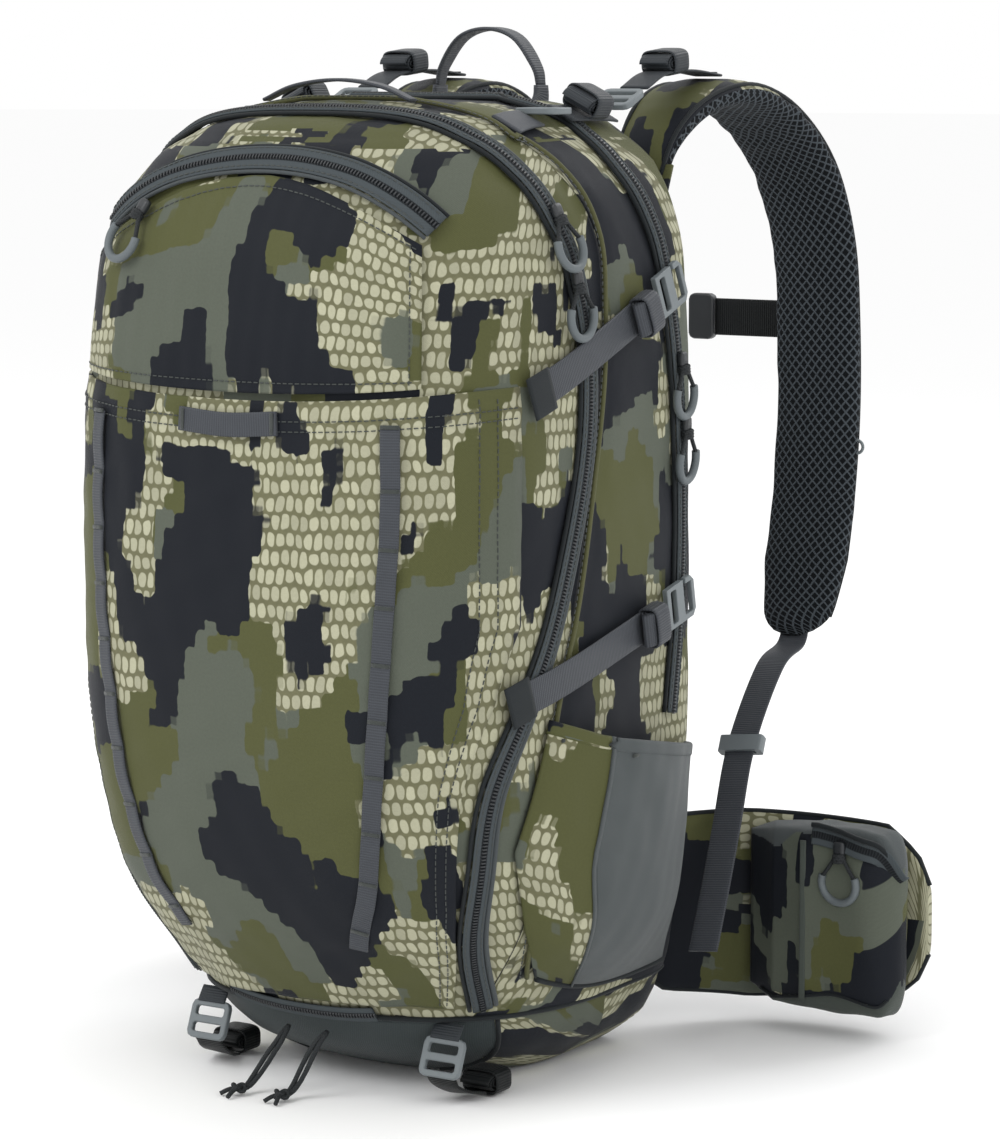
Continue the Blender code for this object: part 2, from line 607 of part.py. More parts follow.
# ---- harness ---------------------------------------------------------------------------------
PAD_ROUTE = [(0.094, 0.137, 0.530), (0.094, 0.153, 0.563), (0.094, 0.190, 0.585),
             (0.096, 0.235, 0.589), (0.099, 0.285, 0.573), (0.104, 0.325, 0.540),
             (0.108, 0.345, 0.493), (0.110, 0.350, 0.440), (0.113, 0.346, 0.380),
             (0.116, 0.333, 0.320), (0.121, 0.309, 0.265), (0.124, 0.291, 0.238)]
STRAP_BEND = (0.127, 0.232, 0.215)     # the webbing runs straight from here to its foot
STRAP_FOOT = (0.150, 0.125, 0.062)
HARNESS_TOP = (0.094, 0.137, 0.530)


def build_harness(tag, side):
    """A shoulder pad and the pieces that swing with it: webbing, slider, lifter and sternum half."""
    line = smooth_path(mirrored(PAD_ROUTE, side), 0.030)
    tangent = unit(np.gradient(line, axis=0))
    across = np.broadcast_to(np.array([1.0, 0.0, 0.0]), line.shape)
    across = unit(across - (across * tangent).sum(axis=1)[:, None] * tangent)
    out = np.cross(tangent, across)
    share = np.linspace(0, 1, len(line))
    half = PAD_WIDTH / 2 * np.interp(share, [0, 0.08, 0.2, 0.9, 1], [0.50, 0.70, 1, 0.92, 0.50])
    thick = PAD_THICKNESS / 2 * np.interp(share, [0, 0.1, 0.9, 1], [0.6, 1, 0.95, 0.45])
    rings = [rounded_ring(p, a, o, h, t, 2.8, 12)
             for p, a, o, h, t in zip(line, across, out, half, thick)]
    top = (side * HARNESS_TOP[0], *HARNESS_TOP[1:])
    pad = turn_about(loft("shoulder_pad_" + tag, rings, "mesh_padding"), top)
    foot, bend = (np.array(p) for p in mirrored([STRAP_FOOT, STRAP_BEND], side))
    start = line[-1] + unit(bend - line[-1]) * 0.004
    toward = unit(foot - bend)
    route = [start, bend, bend + toward * 0.02, bend + toward * 0.07, foot]
    pieces = [webbing("adjuster_webbing_" + tag, route, NARROW_WEB, (1, 0, 0), WEB_WALL,
                      "grey_webbing", 0.02)]
    at = bend + toward * 0.045
    flat = unit(np.array([1.0, 0, 0]) - toward[0] * toward)
    loops = [rounded_box(0.0150, 0.0042, 0.002, steps=2),
             rounded_box(NARROW_WEB / 2 + 0.0008, 0.0016, 0.0005, steps=1)]
    slider = outline("strap_slider_" + tag, loops, 0.011,
                     frame_matrix(at, flat, np.cross(toward, flat)), "grey_plastic")
    pieces.append(slider)
    lifter = mirrored([(0.097, 0.1262, 0.5954), (0.097, 0.150, 0.604), (0.096, 0.185, 0.606),
                       (0.096, 0.222, 0.603)], side)
    pieces.append(webbing("load_lifter_" + tag, lifter, NARROW_WEB, (1, 0, 0), WEB_WALL,
                          "grey_webbing", 0.010))
    stern_z, reach = 0.440, 0.026
    face = 0.350 + PAD_THICKNESS / 2 + 0.004
    stern = mirrored([(0.118, face, stern_z), (0.075, face, stern_z), (reach, face, stern_z)], side)
    pieces.append(webbing("sternum_webbing_" + tag, stern, WIDE_WEB, (0, 0, 1), WEB_WALL,
                          "black_webbing", 0.012))
    if side > 0:
        loops = [rounded_box(0.0095, 0.0155, 0.004, steps=2)]
        name, wall = "sternum_socket", 0.0075
    else:
        loops = [[(-0.0095, -0.0145), (0.0, -0.0145), (0.0095, -0.010), (0.0095, -0.006),
                  (0.001, -0.006), (0.001, 0.006), (0.0095, 0.006), (0.0095, 0.010),
                  (0.0, 0.0145), (-0.0095, 0.0145)]]
        name, wall = "sternum_plug", 0.0045
    place = frame_matrix((side * (reach - 0.0100), face, stern_z), (-side, 0, 0), (0, 0, 1))
    pieces.append(outline(name, loops, wall, place, "grey_plastic"))
    for piece in pieces:
        piece.parent = pad
        piece.matrix_parent_inverse = Matrix.Translation(-pad.location)


def roll(name, centre, side, along, across, finish="grey_webbing"):
    """A strap's free end, rolled up and held by its elastic keeper."""
    length = NARROW_WEB + 0.003
    place = frame_matrix((side * centre[0], centre[1], centre[2]), along, across)
    loop = [(ROLL_RADIUS * math.cos(a), 0.82 * ROLL_RADIUS * math.sin(a))
            for a in np.linspace(0, 2 * math.pi, 14, endpoint=False)]
    return outline(name, [loop], length, place, finish)


def buckle_plate(name, centre, side, tilt, wall=LOCK_WALL):
    """A ladder-lock: a frame with one middle bar, tilted about the edge that holds its origin."""
    half_x, half_y = NARROW_WEB / 2 + 0.004, LOCK_LENGTH / 2
    slot = half_y / 2 - 0.0032
    loops = [rounded_box(half_x, half_y, 0.004, (0, half_y), 2),
             rounded_box(NARROW_WEB / 2 + 0.0004, slot, 0.001, (0, 1.5 * half_y - 0.0008), 1),
             rounded_box(NARROW_WEB / 2 + 0.0004, slot, 0.001, (0, 0.5 * half_y + 0.0008), 1)]
    y_axis = (0, math.cos(tilt), math.sin(tilt))
    place = frame_matrix((side * centre[0], centre[1], centre[2]), (1, 0, 0), y_axis)
    return outline(name, loops, wall, place, "grey_plastic")


def build_top(tag, side):
    """Load-lifter lock, and the hook of the top compression strap."""
    buckle_plate("lifter_lock_" + tag, (0.097, 0.0945, 0.5840), side, math.radians(24))
    buckle_plate("top_hook_" + tag, (0.098, 0.0060, 0.5828), side, math.radians(0))


def build_lash(tag, side):
    """Lash-strap buckle in front of the base, and the strap's rolled end under it."""
    buckle_plate("lash_buckle_" + tag, (0.085, -0.0690, 0.0405), side, math.radians(-112))
    roll("lash_roll_" + tag, (0.092, -0.0370, 0.0090), side, (0, 1, 0), (0, 0, 1), "black_webbing")



def build_loops():
    foot = Vector((0, HAUL_Y, PACK_HEIGHT + HAUL_LIFT))
    arch = [foot + Vector((x, 0, z)) for x, z in (
        (-0.037, 0), (-0.034, 0.014), (-0.020, 0.032), (0, 0.038), (0.020, 0.032), (0.034, 0.014),
        (0.037, 0))]
    loop = webbing("haul_loop", arch, [0.008, 0.015, 0.015, 0.015, 0.008], (0, 1, 0), 0.0025,
                   "grey_webbing", 0.007)
    turn_about(loop, foot)
    arch = [(x, -0.052, PACK_HEIGHT + z) for x, z in (
        (-0.052, 0.0005), (-0.030, 0.0095), (0, 0.0130), (0.030, 0.0095), (0.052, 0.0005))]
    webbing("front_loop", arch, 0.010, (0, 1, 0), 0.0020, "grey_webbing", 0.010)


# The two short pull cords of the base zip: from the slider down to their knots on the floor.
CORD_ROUTES = {
    "base_cord_R": [(0.016, -0.0930, 0.0400), (0.015, -0.0975, 0.0370), (0.012, -0.1010, 0.0310),
                    (0.009, -0.1030, 0.0240), (0.006, -0.1050, 0.0165), (0.003, -0.1070, 0.0095),
                    (0.001, -0.1110, 0.0048), (-0.001, -0.1165, 0.0034)],
    "base_cord_L": [(-0.012, -0.0930, 0.0400), (-0.012, -0.0975, 0.0370), (-0.014, -0.1015, 0.0310),
                    (-0.018, -0.1040, 0.0240), (-0.022, -0.1065, 0.0165), (-0.026, -0.1090, 0.0095),
                    (-0.0285, -0.1130, 0.0048), (-0.031, -0.1185, 0.0034)],
}


def build_cord(name, route):
    """A pull cord, as a tube along a smooth curve through its route."""
    curve = bpy.data.curves.new(name, "CURVE")
    curve.dimensions = "3D"
    curve.bevel_depth = CORD_RADIUS
    curve.bevel_resolution = 2
    curve.use_fill_caps = True
    points = smooth_path(route, 0.006)
    spline = curve.splines.new("POLY")
    spline.points.add(len(points) - 1)
    spline.points.foreach_set("co", [v for p in points for v in (*p, 1.0)])
    return add_object(name, curve, "black_cord")


def main():
    build_compartments()
    build_base()
    build_front()
    build_zips()
    build_pulls()
    build_back()
    build_loops()
    for tag, side in SIDES:
        build_side_pocket(tag, side)
        build_compression(tag, side)
        build_belt(tag, side)
        build_harness(tag, side)
        build_top(tag, side)
        build_lash(tag, side)
    for name, route in CORD_ROUTES.items():
        build_cord(name, route)


main()
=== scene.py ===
import json
import math

import bmesh
import bpy
import numpy as np
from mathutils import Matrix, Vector


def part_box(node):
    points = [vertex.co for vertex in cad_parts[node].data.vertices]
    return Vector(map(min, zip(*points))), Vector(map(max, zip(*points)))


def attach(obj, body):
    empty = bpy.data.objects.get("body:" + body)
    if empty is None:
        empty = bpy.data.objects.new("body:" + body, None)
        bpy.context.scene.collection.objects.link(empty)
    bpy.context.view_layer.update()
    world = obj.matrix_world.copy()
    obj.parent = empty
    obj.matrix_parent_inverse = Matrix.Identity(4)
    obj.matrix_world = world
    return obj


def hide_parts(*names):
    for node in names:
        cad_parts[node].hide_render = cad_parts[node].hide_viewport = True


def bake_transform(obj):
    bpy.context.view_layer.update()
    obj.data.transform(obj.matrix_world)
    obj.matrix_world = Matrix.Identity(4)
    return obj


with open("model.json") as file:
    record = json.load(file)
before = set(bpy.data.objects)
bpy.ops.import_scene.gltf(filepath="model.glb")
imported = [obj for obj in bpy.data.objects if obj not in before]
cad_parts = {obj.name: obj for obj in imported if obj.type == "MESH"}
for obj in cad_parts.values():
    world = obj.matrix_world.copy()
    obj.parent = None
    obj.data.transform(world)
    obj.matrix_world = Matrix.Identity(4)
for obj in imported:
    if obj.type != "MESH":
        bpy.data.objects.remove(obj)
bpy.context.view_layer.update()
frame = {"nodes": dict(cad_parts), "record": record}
BODY_OF = {node: body for body, nodes in frame["record"]["behaviour"]["bodies"].items() for node in nodes}
PACK_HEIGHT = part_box("main_compartment")[1].z
PACK_WIDTH = 0.302
SIDES = (("R", 1), ("L", -1))
BASE_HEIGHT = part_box("base_boot")[1].z

# %% [markdown]
# ## Camera, light and floor
# The camera comes first, because a shape can only be judged from a fixed place. It stands well back with a
# long lens, which keeps the upright edges nearly parallel. Three large soft lamps and a white world
# give the even light of a product table.
# %% Camera
EYE = Vector((1.2702, -1.9063, 0.6110))
AIM = Vector((0.0568, 0.0355, 0.3055))
lens = bpy.data.cameras.new("camera")
lens.lens = 120.1
lens.sensor_width = 36.0
lens.clip_end = 50.0
camera = bpy.data.objects.new("camera", lens)
camera.location = EYE
camera.rotation_euler = (AIM - EYE).to_track_quat("-Z", "Y").to_euler()
bpy.context.scene.collection.objects.link(camera)
bpy.context.scene.camera = camera


# %% Lamps, world and floor
def area_lamp(name, place, target, size, power):
    """A square lamp of the given size that looks at its target."""
    lamp = bpy.data.lights.new(name, "AREA")
    lamp.size = size
    lamp.energy = power
    made = bpy.data.objects.new(name, lamp)
    made.location = place
    made.rotation_euler = (Vector(target) - Vector(place)).to_track_quat("-Z", "Y").to_euler()
    bpy.context.scene.collection.objects.link(made)


area_lamp("key_lamp", (-1.0, -2.0, 2.3), (0, 0, 0.3), 1.6, 34.0)
area_lamp("fill_lamp", (2.4, -0.9, 1.5), (0, 0, 0.3), 2.0, 14.0)
area_lamp("back_lamp", (0.6, 2.2, 2.2), (0, 0.1, 0.35), 1.6, 20.0)
world = bpy.data.worlds.new("studio")
world.use_nodes = True
world.node_tree.nodes["Background"].inputs["Color"].default_value = (1.0, 1.0, 1.0, 1.0)
world.node_tree.nodes["Background"].inputs["Strength"].default_value = 1.0
bpy.context.scene.world = world
bpy.context.scene.view_settings.view_transform = "Standard"

FLOOR_SIDE = 40.0
floor_mesh = bpy.data.meshes.new("floor")
floor_mesh.from_pydata([(-FLOOR_SIDE, -FLOOR_SIDE, 0), (FLOOR_SIDE, -FLOOR_SIDE, 0),
                        (FLOOR_SIDE, FLOOR_SIDE, 0), (-FLOOR_SIDE, FLOOR_SIDE, 0)], [], [(0, 1, 2, 3)])
floor = bpy.data.objects.new("floor", floor_mesh)
bpy.context.scene.collection.objects.link(floor)
paper = bpy.data.materials.new("studio_paper")
paper.use_nodes = True
paper.node_tree.nodes["Principled BSDF"].inputs["Base Color"].default_value = (0.97, 0.97, 0.97, 1)
paper.node_tree.nodes["Principled BSDF"].inputs["Roughness"].default_value = 0.9
paper.node_tree.nodes["Principled BSDF"].inputs["Specular IOR Level"].default_value = 0.0
floor_mesh.materials.append(paper)

# %% [markdown]
# ## Materials
# Every finish is a small recipe of nodes. Most of them read the piece's own UV map, which every piece carries in
# metres of cloth, so a weave has the same size everywhere and runs along its strap or round its pad. The
# helpers below shorten the calls that make and join nodes, and let a recipe be written as a sum of its outputs.


# %% Recipe helper
def shade(red, green, blue):
    """A colour as a colour picker shows it, 0 to 255, turned into the linear values that shaders use."""
    share = (np.array([red, green, blue]) / 255 + 0.055) / 1.055
    return (*(share**2.4), 1.0)


class Value:
    """A node's output in a recipe. Each + - * or / with it adds a Math node, so a finish reads as a formula."""

    def __init__(self, recipe, socket):
        self.recipe, self.socket = recipe, socket

    def __add__(self, other):
        return self.recipe.math("ADD", self, other)

    def __sub__(self, other):
        return self.recipe.math("SUBTRACT", self, other)

    def __mul__(self, other):
        return self.recipe.math("MULTIPLY", self, other)

    def __truediv__(self, other):
        return self.recipe.math("DIVIDE", self, other)


class Recipe:
    """A material in the making: each call adds a node and gives back its output."""

    def __init__(self, name, roughness=0.8, metallic=0.0, sheen=0.0, specular=0.5):
        self.material = bpy.data.materials.new(name)
        self.material.use_nodes = True
        self.tree = self.material.node_tree
        self.shader = self.tree.nodes["Principled BSDF"]
        self.shader.inputs["Roughness"].default_value = roughness
        self.shader.inputs["Metallic"].default_value = metallic
        self.shader.inputs["Sheen Weight"].default_value = sheen
        self.shader.inputs["Specular IOR Level"].default_value = specular
        self.cloth = self.tree.nodes.new("ShaderNodeUVMap").outputs["UV"]
        self.cloth.node.uv_map = "cloth"

    def join(self, socket, value):
        """Links an output to a socket, or sets the socket to a plain value."""
        value = getattr(value, "socket", value)
        if isinstance(value, bpy.types.NodeSocket):
            self.tree.links.new(value, socket)
        elif socket.type == "VECTOR":
            socket.default_value = value[:3]
        else:
            socket.default_value = value

    def math(self, operation, a, b=0.0):
        """A Math node of the given operation on two values."""
        node = self.tree.nodes.new("ShaderNodeMath")
        node.operation = operation
        self.join(node.inputs[0], a)
        self.join(node.inputs[1], b)
        return Value(self, node.outputs[0])

    def wave(self, distance, length):
        """A sine wave along a distance, with the given length."""
        return self.math("SINE", distance * (2 * math.pi / length))

    def vector(self, operation, a, b=(0.0, 0.0, 0.0)):
        """A Vector Math node of the given operation on two vectors."""
        node = self.tree.nodes.new("ShaderNodeVectorMath")
        node.operation = operation
        self.join(node.inputs[0], a)
        self.join(node.inputs[1], b)
        return node.outputs[0]

    def split(self, vector):
        """The first two parts of a vector."""
        node = self.tree.nodes.new("ShaderNodeSeparateXYZ")
        self.join(node.inputs[0], vector)
        return Value(self, node.outputs[0]), Value(self, node.outputs[1])

    def combine(self, x, y, z=0.0):
        """A vector made of three values."""
        node = self.tree.nodes.new("ShaderNodeCombineXYZ")
        for socket, value in zip(node.inputs, (x, y, z)):
            self.join(socket, value)
        return node.outputs[0]

    def noise(self, vector, size, detail=2.0, roughness=0.5):
        """Soft random blotches of about the given size in metres, from 0 to 1."""
        node = self.tree.nodes.new("ShaderNodeTexNoise")
        self.join(node.inputs["Vector"], vector)
        node.inputs["Scale"].default_value = 1.0 / size
        node.inputs["Detail"].default_value = detail
        node.inputs["Roughness"].default_value = roughness
        return Value(self, node.outputs[0])

    def step(self, value, low, high):
        """0 below low, 1 above high, with a smooth rise between."""
        node = self.tree.nodes.new("ShaderNodeMapRange")
        node.interpolation_type = "SMOOTHSTEP"
        self.join(node.inputs[0], value)
        node.inputs[1].default_value = low
        node.inputs[2].default_value = high
        return Value(self, node.outputs[0])

    def blend(self, factor, a, b):
        """Colour a where the factor is 0 and colour b where it is 1."""
        node = self.tree.nodes.new("ShaderNodeMix")
        node.data_type = "RGBA"
        self.join(node.inputs[0], factor)
        self.join(node.inputs[6], a)
        self.join(node.inputs[7], b)
        return node.outputs[2]

    def tone(self, colour, value, least, most):
        """The colour made darker or lighter as the value goes from 0 to 1."""
        node = self.tree.nodes.new("ShaderNodeMapRange")
        self.join(node.inputs[0], value)
        node.inputs[3].default_value = least
        node.inputs[4].default_value = most
        scale = self.tree.nodes.new("ShaderNodeVectorMath")
        scale.operation = "SCALE"
        self.join(scale.inputs[0], colour)
        self.join(scale.inputs[3], node.outputs[0])
        return scale.outputs[0]

    def done(self, colour, height=None, depth=0.0002, roughness=None):
        """Joins the colour, the height of the relief in shares of depth, and the roughness to the shader."""
        self.join(self.shader.inputs["Base Color"], colour)
        if height is not None:
            bump = self.tree.nodes.new("ShaderNodeBump")
            bump.inputs["Strength"].default_value = 0.8
            bump.inputs["Distance"].default_value = depth
            self.join(bump.inputs["Height"], height)
            self.join(self.shader.inputs["Normal"], bump.outputs[0])
        if roughness is not None:
            self.join(self.shader.inputs["Roughness"], roughness)
        return self.material

# %% [markdown]
# ### Camouflage cloth
# A woven pack cloth printed in four inks: olive ground, grey-green and charcoal blocks, and fields of pale pebbles.
# The print could be painted, but a rule is sharper at any size. Soft noise is read at positions that snap to
# small cells, so its outlines become stair steps, and the snap is eased a little, which rounds their corners.
# The pebbles are rounded rectangles on a staggered grid, each with its own tint.


# %% Camouflage recipe
CELL_WIDE, CELL_TALL = 0.0078, 0.0098
PEBBLE_WIDE, PEBBLE_TALL = 0.0064, 0.0102
PEBBLE_ROUNDNESS, PEBBLE_OUTSIDE, PEBBLE_INSIDE = 2.6, 0.118, 0.068
PATCH_EDGE = 0.004
OLIVE, GREY_GREEN = shade(78, 80, 49), shade(84, 89, 79)
CHARCOAL, CREAM, TAN = shade(24, 27, 33), shade(168, 167, 143), shade(104, 103, 78)


def snapped(recipe, share):
    """A coordinate that rests on whole numbers and crosses quickly, but smoothly, from one to the next."""
    whole = recipe.math("FLOOR", share)
    return whole + recipe.step(share - whole, 0.20, 0.80)


def woven(recipe, pitch):
    """The relief of a plain weave: two crossed sine waves, from 0 to 1."""
    u, v = recipe.split(recipe.cloth)
    warp = recipe.wave(u, pitch)
    weft = recipe.wave(v, pitch)
    return warp * weft * 0.5 + 0.5


def camouflage(name, shift):
    """The printed cloth, cut from another place of the roll for each shift."""
    recipe = Recipe(name, roughness=0.85, sheen=0.03, specular=0.10)
    place = recipe.vector("ADD", recipe.cloth, (*shift, 0.0))
    jitter = (recipe.noise(place, 0.006, 1.0) - 0.5) * 0.22
    u, v = recipe.split(place)
    column = u / CELL_WIDE + jitter
    row = v / CELL_TALL + jitter
    cells = recipe.combine(snapped(recipe, column) * CELL_WIDE, snapped(recipe, row) * (CELL_TALL * 0.62))

    def patches(offset, size, level):
        """1 where the noise at the snapped position, read at an offset, is above a level."""
        value = recipe.noise(recipe.vector("ADD", cells, offset), size, 2.2, 0.55)
        return recipe.step(value, level - PATCH_EDGE, level + PATCH_EDGE)

    warp = (recipe.noise(place, 0.012, 1.0) - 0.5) * 0.62
    across = v / PEBBLE_TALL + warp
    line = recipe.math("FLOOR", across)
    stagger = recipe.math("MODULO", line, 2.0) * 0.5
    along = u / PEBBLE_WIDE + stagger + warp
    number = recipe.math("FLOOR", along)
    from_x = recipe.math("ABSOLUTE", along - number - 0.5)
    from_y = recipe.math("ABSOLUTE", across - line - 0.5)
    reach = recipe.math("POWER", from_x, PEBBLE_ROUNDNESS) + recipe.math("POWER", from_y, PEBBLE_ROUNDNESS)
    tint = recipe.tree.nodes.new("ShaderNodeTexWhiteNoise")
    recipe.join(tint.inputs["Vector"], recipe.combine(number, line))
    pebble = recipe.step(reach, PEBBLE_OUTSIDE, PEBBLE_INSIDE)
    cream = recipe.tone(CREAM, tint.outputs["Value"], 0.80, 1.05)
    tan = recipe.tone(TAN, recipe.noise(place, 0.006), 0.80, 1.15)
    field = recipe.blend(pebble, tan, cream)
    colour = recipe.blend(patches((3.1, 1.7, 0.4), 0.074, 0.535), OLIVE, GREY_GREEN)
    colour = recipe.blend(patches((0.3, 5.2, 0.9), 0.080, 0.500), colour, field)
    colour = recipe.blend(patches((7.7, 2.9, 0.2), 0.060, 0.530), colour, CHARCOAL)
    weave = woven(recipe, 0.0009)
    worn = recipe.tone(colour, recipe.noise(recipe.cloth, 0.0016, 3.0, 0.7), 0.86, 1.12)
    return recipe.done(worn, weave, 0.00012, recipe.step(weave, -1.6, 2.4))


CAMO = {name: camouflage("camo_" + name, shift) for name, shift in (
    ("front", (0.13, 0.52)), ("panel", (1.37, 0.91)), ("pocket", (2.21, 1.34)), ("main", (3.05, 2.48)),
    ("side", (4.62, 0.23)), ("harness", (5.31, 3.17)), ("belt", (6.08, 1.76)))}
print("camouflage cuts:", len(CAMO))

# %% [markdown]
# ### Plain cloth, webbing and mesh
# Nylon webbing is woven with ribs across its width and a denser edge. The stretch cloth of the bottle
# pocket is a fine knit with a soft sheen. The spacer mesh of the pads has a lattice of pale threads
# over dark foam: two families of slanted lines, each a band where a sawtooth wave is near its middle.


# %% Plain woven cloth
def plain_cloth(name, colour, pitch=0.0010, sheen=0.2, roughness=0.78):
    """One colour of cloth, clouded slowly and by its fibres, over the relief of a plain weave."""
    recipe = Recipe(name, roughness=roughness, sheen=sheen, specular=0.14)
    weave = woven(recipe, pitch)
    cloudy = recipe.noise(recipe.cloth, 0.018, 3.0)
    fibre = recipe.noise(recipe.cloth, 0.0012, 3.0, 0.7)
    toned = recipe.tone(recipe.tone(colour, cloudy, 0.88, 1.12), fibre, 0.88, 1.12)
    return recipe.done(toned, weave, 0.00018, recipe.step(weave, -1.8, 2.2))


def ribbed_webbing(name, colour, pitch=0.0016, specular=0.18):
    """Webbing: ribs across its width, which is U, and its length is V."""
    recipe = Recipe(name, roughness=0.62, sheen=0.04, specular=specular)
    u, v = recipe.split(recipe.cloth)
    rib = recipe.wave(v, pitch)
    warp = recipe.wave(u, 0.0011)
    height = rib * 0.38 + warp * 0.12 + 0.5
    # The colour follows the rib height: painted shade in the grooves and a painted highlight on the ribs.
    toned = recipe.tone(colour, height, 0.78, 1.20)
    toned = recipe.tone(toned, recipe.noise(recipe.cloth, 0.010, 3.0), 0.90, 1.10)
    return recipe.done(toned, height, 0.00030, recipe.step(height, -1.2, 2.4))


def spacer_mesh(name, wide, tall, thread, ground):
    """Lattice of threads over foam, with cells of the given width and height."""
    recipe = Recipe(name, roughness=0.88, sheen=0.02, specular=0.12)
    bend = (recipe.noise(recipe.cloth, 0.02) - 0.5) * 0.35
    u, v = recipe.split(recipe.cloth)
    across = u / wide + bend
    along = v / tall
    lines = []
    for sense in (1.0, -1.0):
        part = recipe.math("FRACT", along + across * sense) - 0.5
        lines.append(recipe.step(recipe.math("ABSOLUTE", part), 0.20, 0.06))
    lattice = recipe.math("MAXIMUM", lines[0], lines[1])
    fuzz = recipe.noise(recipe.cloth, 0.0014, 3.0, 0.7)
    deep = recipe.tone(ground, fuzz, 0.7, 1.3)
    bright = recipe.tone(thread, fuzz, 0.75, 1.2)
    return recipe.done(recipe.blend(lattice, deep, bright), lattice, 0.0008)


STRETCH = plain_cloth("stretch_knit", shade(70, 75, 76), 0.0012, 0.12, 0.75)
BOOT = plain_cloth("base_cloth", shade(51, 58, 59), 0.0014, 0.06, 0.72)
BELT_GREY = plain_cloth("belt_grey_cloth", shade(66, 72, 67), 0.0012, 0.10, 0.75)
LINING = plain_cloth("back_cloth", shade(36, 40, 42), 0.0012, 0.05, 0.8)
GREY_WEB = ribbed_webbing("grey_webbing", shade(62, 65, 70))
DARK_WEB = ribbed_webbing("dark_webbing", shade(47, 51, 55))
BLACK_WEB = ribbed_webbing("black_webbing", shade(17, 20, 21))
PAD_MESH = spacer_mesh("pad_mesh", 0.0060, 0.0072, shade(70, 76, 81), shade(13, 16, 19))
BACK_MESH = spacer_mesh("back_mesh", 0.0052, 0.0066, shade(50, 54, 58), shade(13, 15, 17))
PIPING = plain_cloth("piping_cloth", shade(66, 71, 73), 0.0011, 0.08, 0.72)
DARK_PIPING = plain_cloth("dark_piping_cloth", shade(29, 33, 35), 0.0011, 0.06, 0.75)
OLIVE_PIPING = plain_cloth("olive_piping_cloth", shade(80, 81, 53), 0.0011, 0.06, 0.75)

# %% [markdown]
# ### Zip tape, cord, plastic and metal
# A zip's tape has a herringbone weave beside its dark coil, and braided cord has two crossing spirals. Both are
# sums of sine waves on the piece's own map. Moulded nylon is nearly plain: a faint grain keeps its highlight
# from looking like glass, and slow clouds of roughness stand for handling.


# %% Zip tape, cord, thread and plastic
def zip_tape():
    """A tape with its coil along the middle: U runs across the tape and V along it."""
    recipe = Recipe("zip_tape", roughness=0.75, specular=0.15)
    u, v = recipe.split(recipe.cloth)
    coil = recipe.step(recipe.math("ABSOLUTE", u), 0.0026, 0.0018)
    tooth = recipe.wave(v, 0.0018)
    herring = recipe.wave(v + recipe.math("ABSOLUTE", u), 0.0013)
    height = coil * tooth * 0.5 + herring * 0.12
    # The colours follow the relief: painted shade between the herringbone ribs and the coil's teeth, and a painted
    # highlight on their tops.
    tape = recipe.tone(shade(66, 72, 75), herring + 0.5, 0.90, 1.10)
    dark = recipe.tone(shade(30, 33, 36), tooth + 0.5, 0.7, 1.2)
    return recipe.done(recipe.blend(coil, tape, dark), height + 0.5, 0.0004)


def braid(name, colour):
    """Braided cord: two crossing spirals of strands round it."""
    recipe = Recipe(name, roughness=0.72, specular=0.35)
    u, v = recipe.split(recipe.cloth)
    waves = []
    for sense in (1.0, -1.0):
        waves.append(recipe.wave(v + u * sense, 0.0022))
    strand = recipe.math("MAXIMUM", waves[0], waves[1]) * 0.5 + 0.5
    # The colour follows the strand height: painted shade between the strands and a painted highlight on them.
    return recipe.done(recipe.tone(colour, strand, 0.7, 1.35), strand, 0.0004)


def moulded_plastic(name, colour, roughness=0.42):
    """Moulded nylon: a faint grain, and a duller tone where it has been handled."""
    recipe = Recipe(name, roughness=roughness, specular=0.5)
    body = recipe.tree.nodes.new("ShaderNodeTexCoord").outputs["Object"]
    grain = recipe.noise(body, 0.0007, 3.0, 0.6)
    cloudy = recipe.noise(body, 0.012, 2.0)
    rough = recipe.tree.nodes.new("ShaderNodeMapRange")
    recipe.join(rough.inputs[0], cloudy)
    rough.inputs[3].default_value = roughness - 0.08
    rough.inputs[4].default_value = roughness + 0.12
    return recipe.done(recipe.tone(colour, cloudy, 0.90, 1.10), grain, 0.00012, rough.outputs[0])


def brushed_aluminium():
    """Metal with fine scratches: noise stretched twenty times along the stay."""
    recipe = Recipe("brushed_aluminium", roughness=0.35, metallic=1.0)
    body = recipe.tree.nodes.new("ShaderNodeTexCoord").outputs["Object"]
    stretched = recipe.vector("MULTIPLY", body, (1.0, 1.0, 0.05))
    scratch = recipe.noise(stretched, 0.0006, 3.0, 0.7)
    return recipe.done(recipe.tone(shade(190, 193, 197), scratch, 0.85, 1.1), scratch, 0.00006)


TAPE = zip_tape()
CORD = braid("black_cord", shade(30, 33, 35))
THREAD = plain_cloth("thread", shade(60, 64, 62), 0.0006)
GREY_PLASTIC = moulded_plastic("grey_plastic", shade(104, 111, 114))
DARK_PLASTIC = moulded_plastic("dark_plastic", shade(34, 37, 40), 0.38)
RUBBER = moulded_plastic("pull_rubber", shade(88, 95, 98), 0.55)
SHEET_PLASTIC = moulded_plastic("sheet_plastic", shade(36, 37, 40), 0.5)
ALUMINIUM = brushed_aluminium()
print("materials:", len(bpy.data.materials))

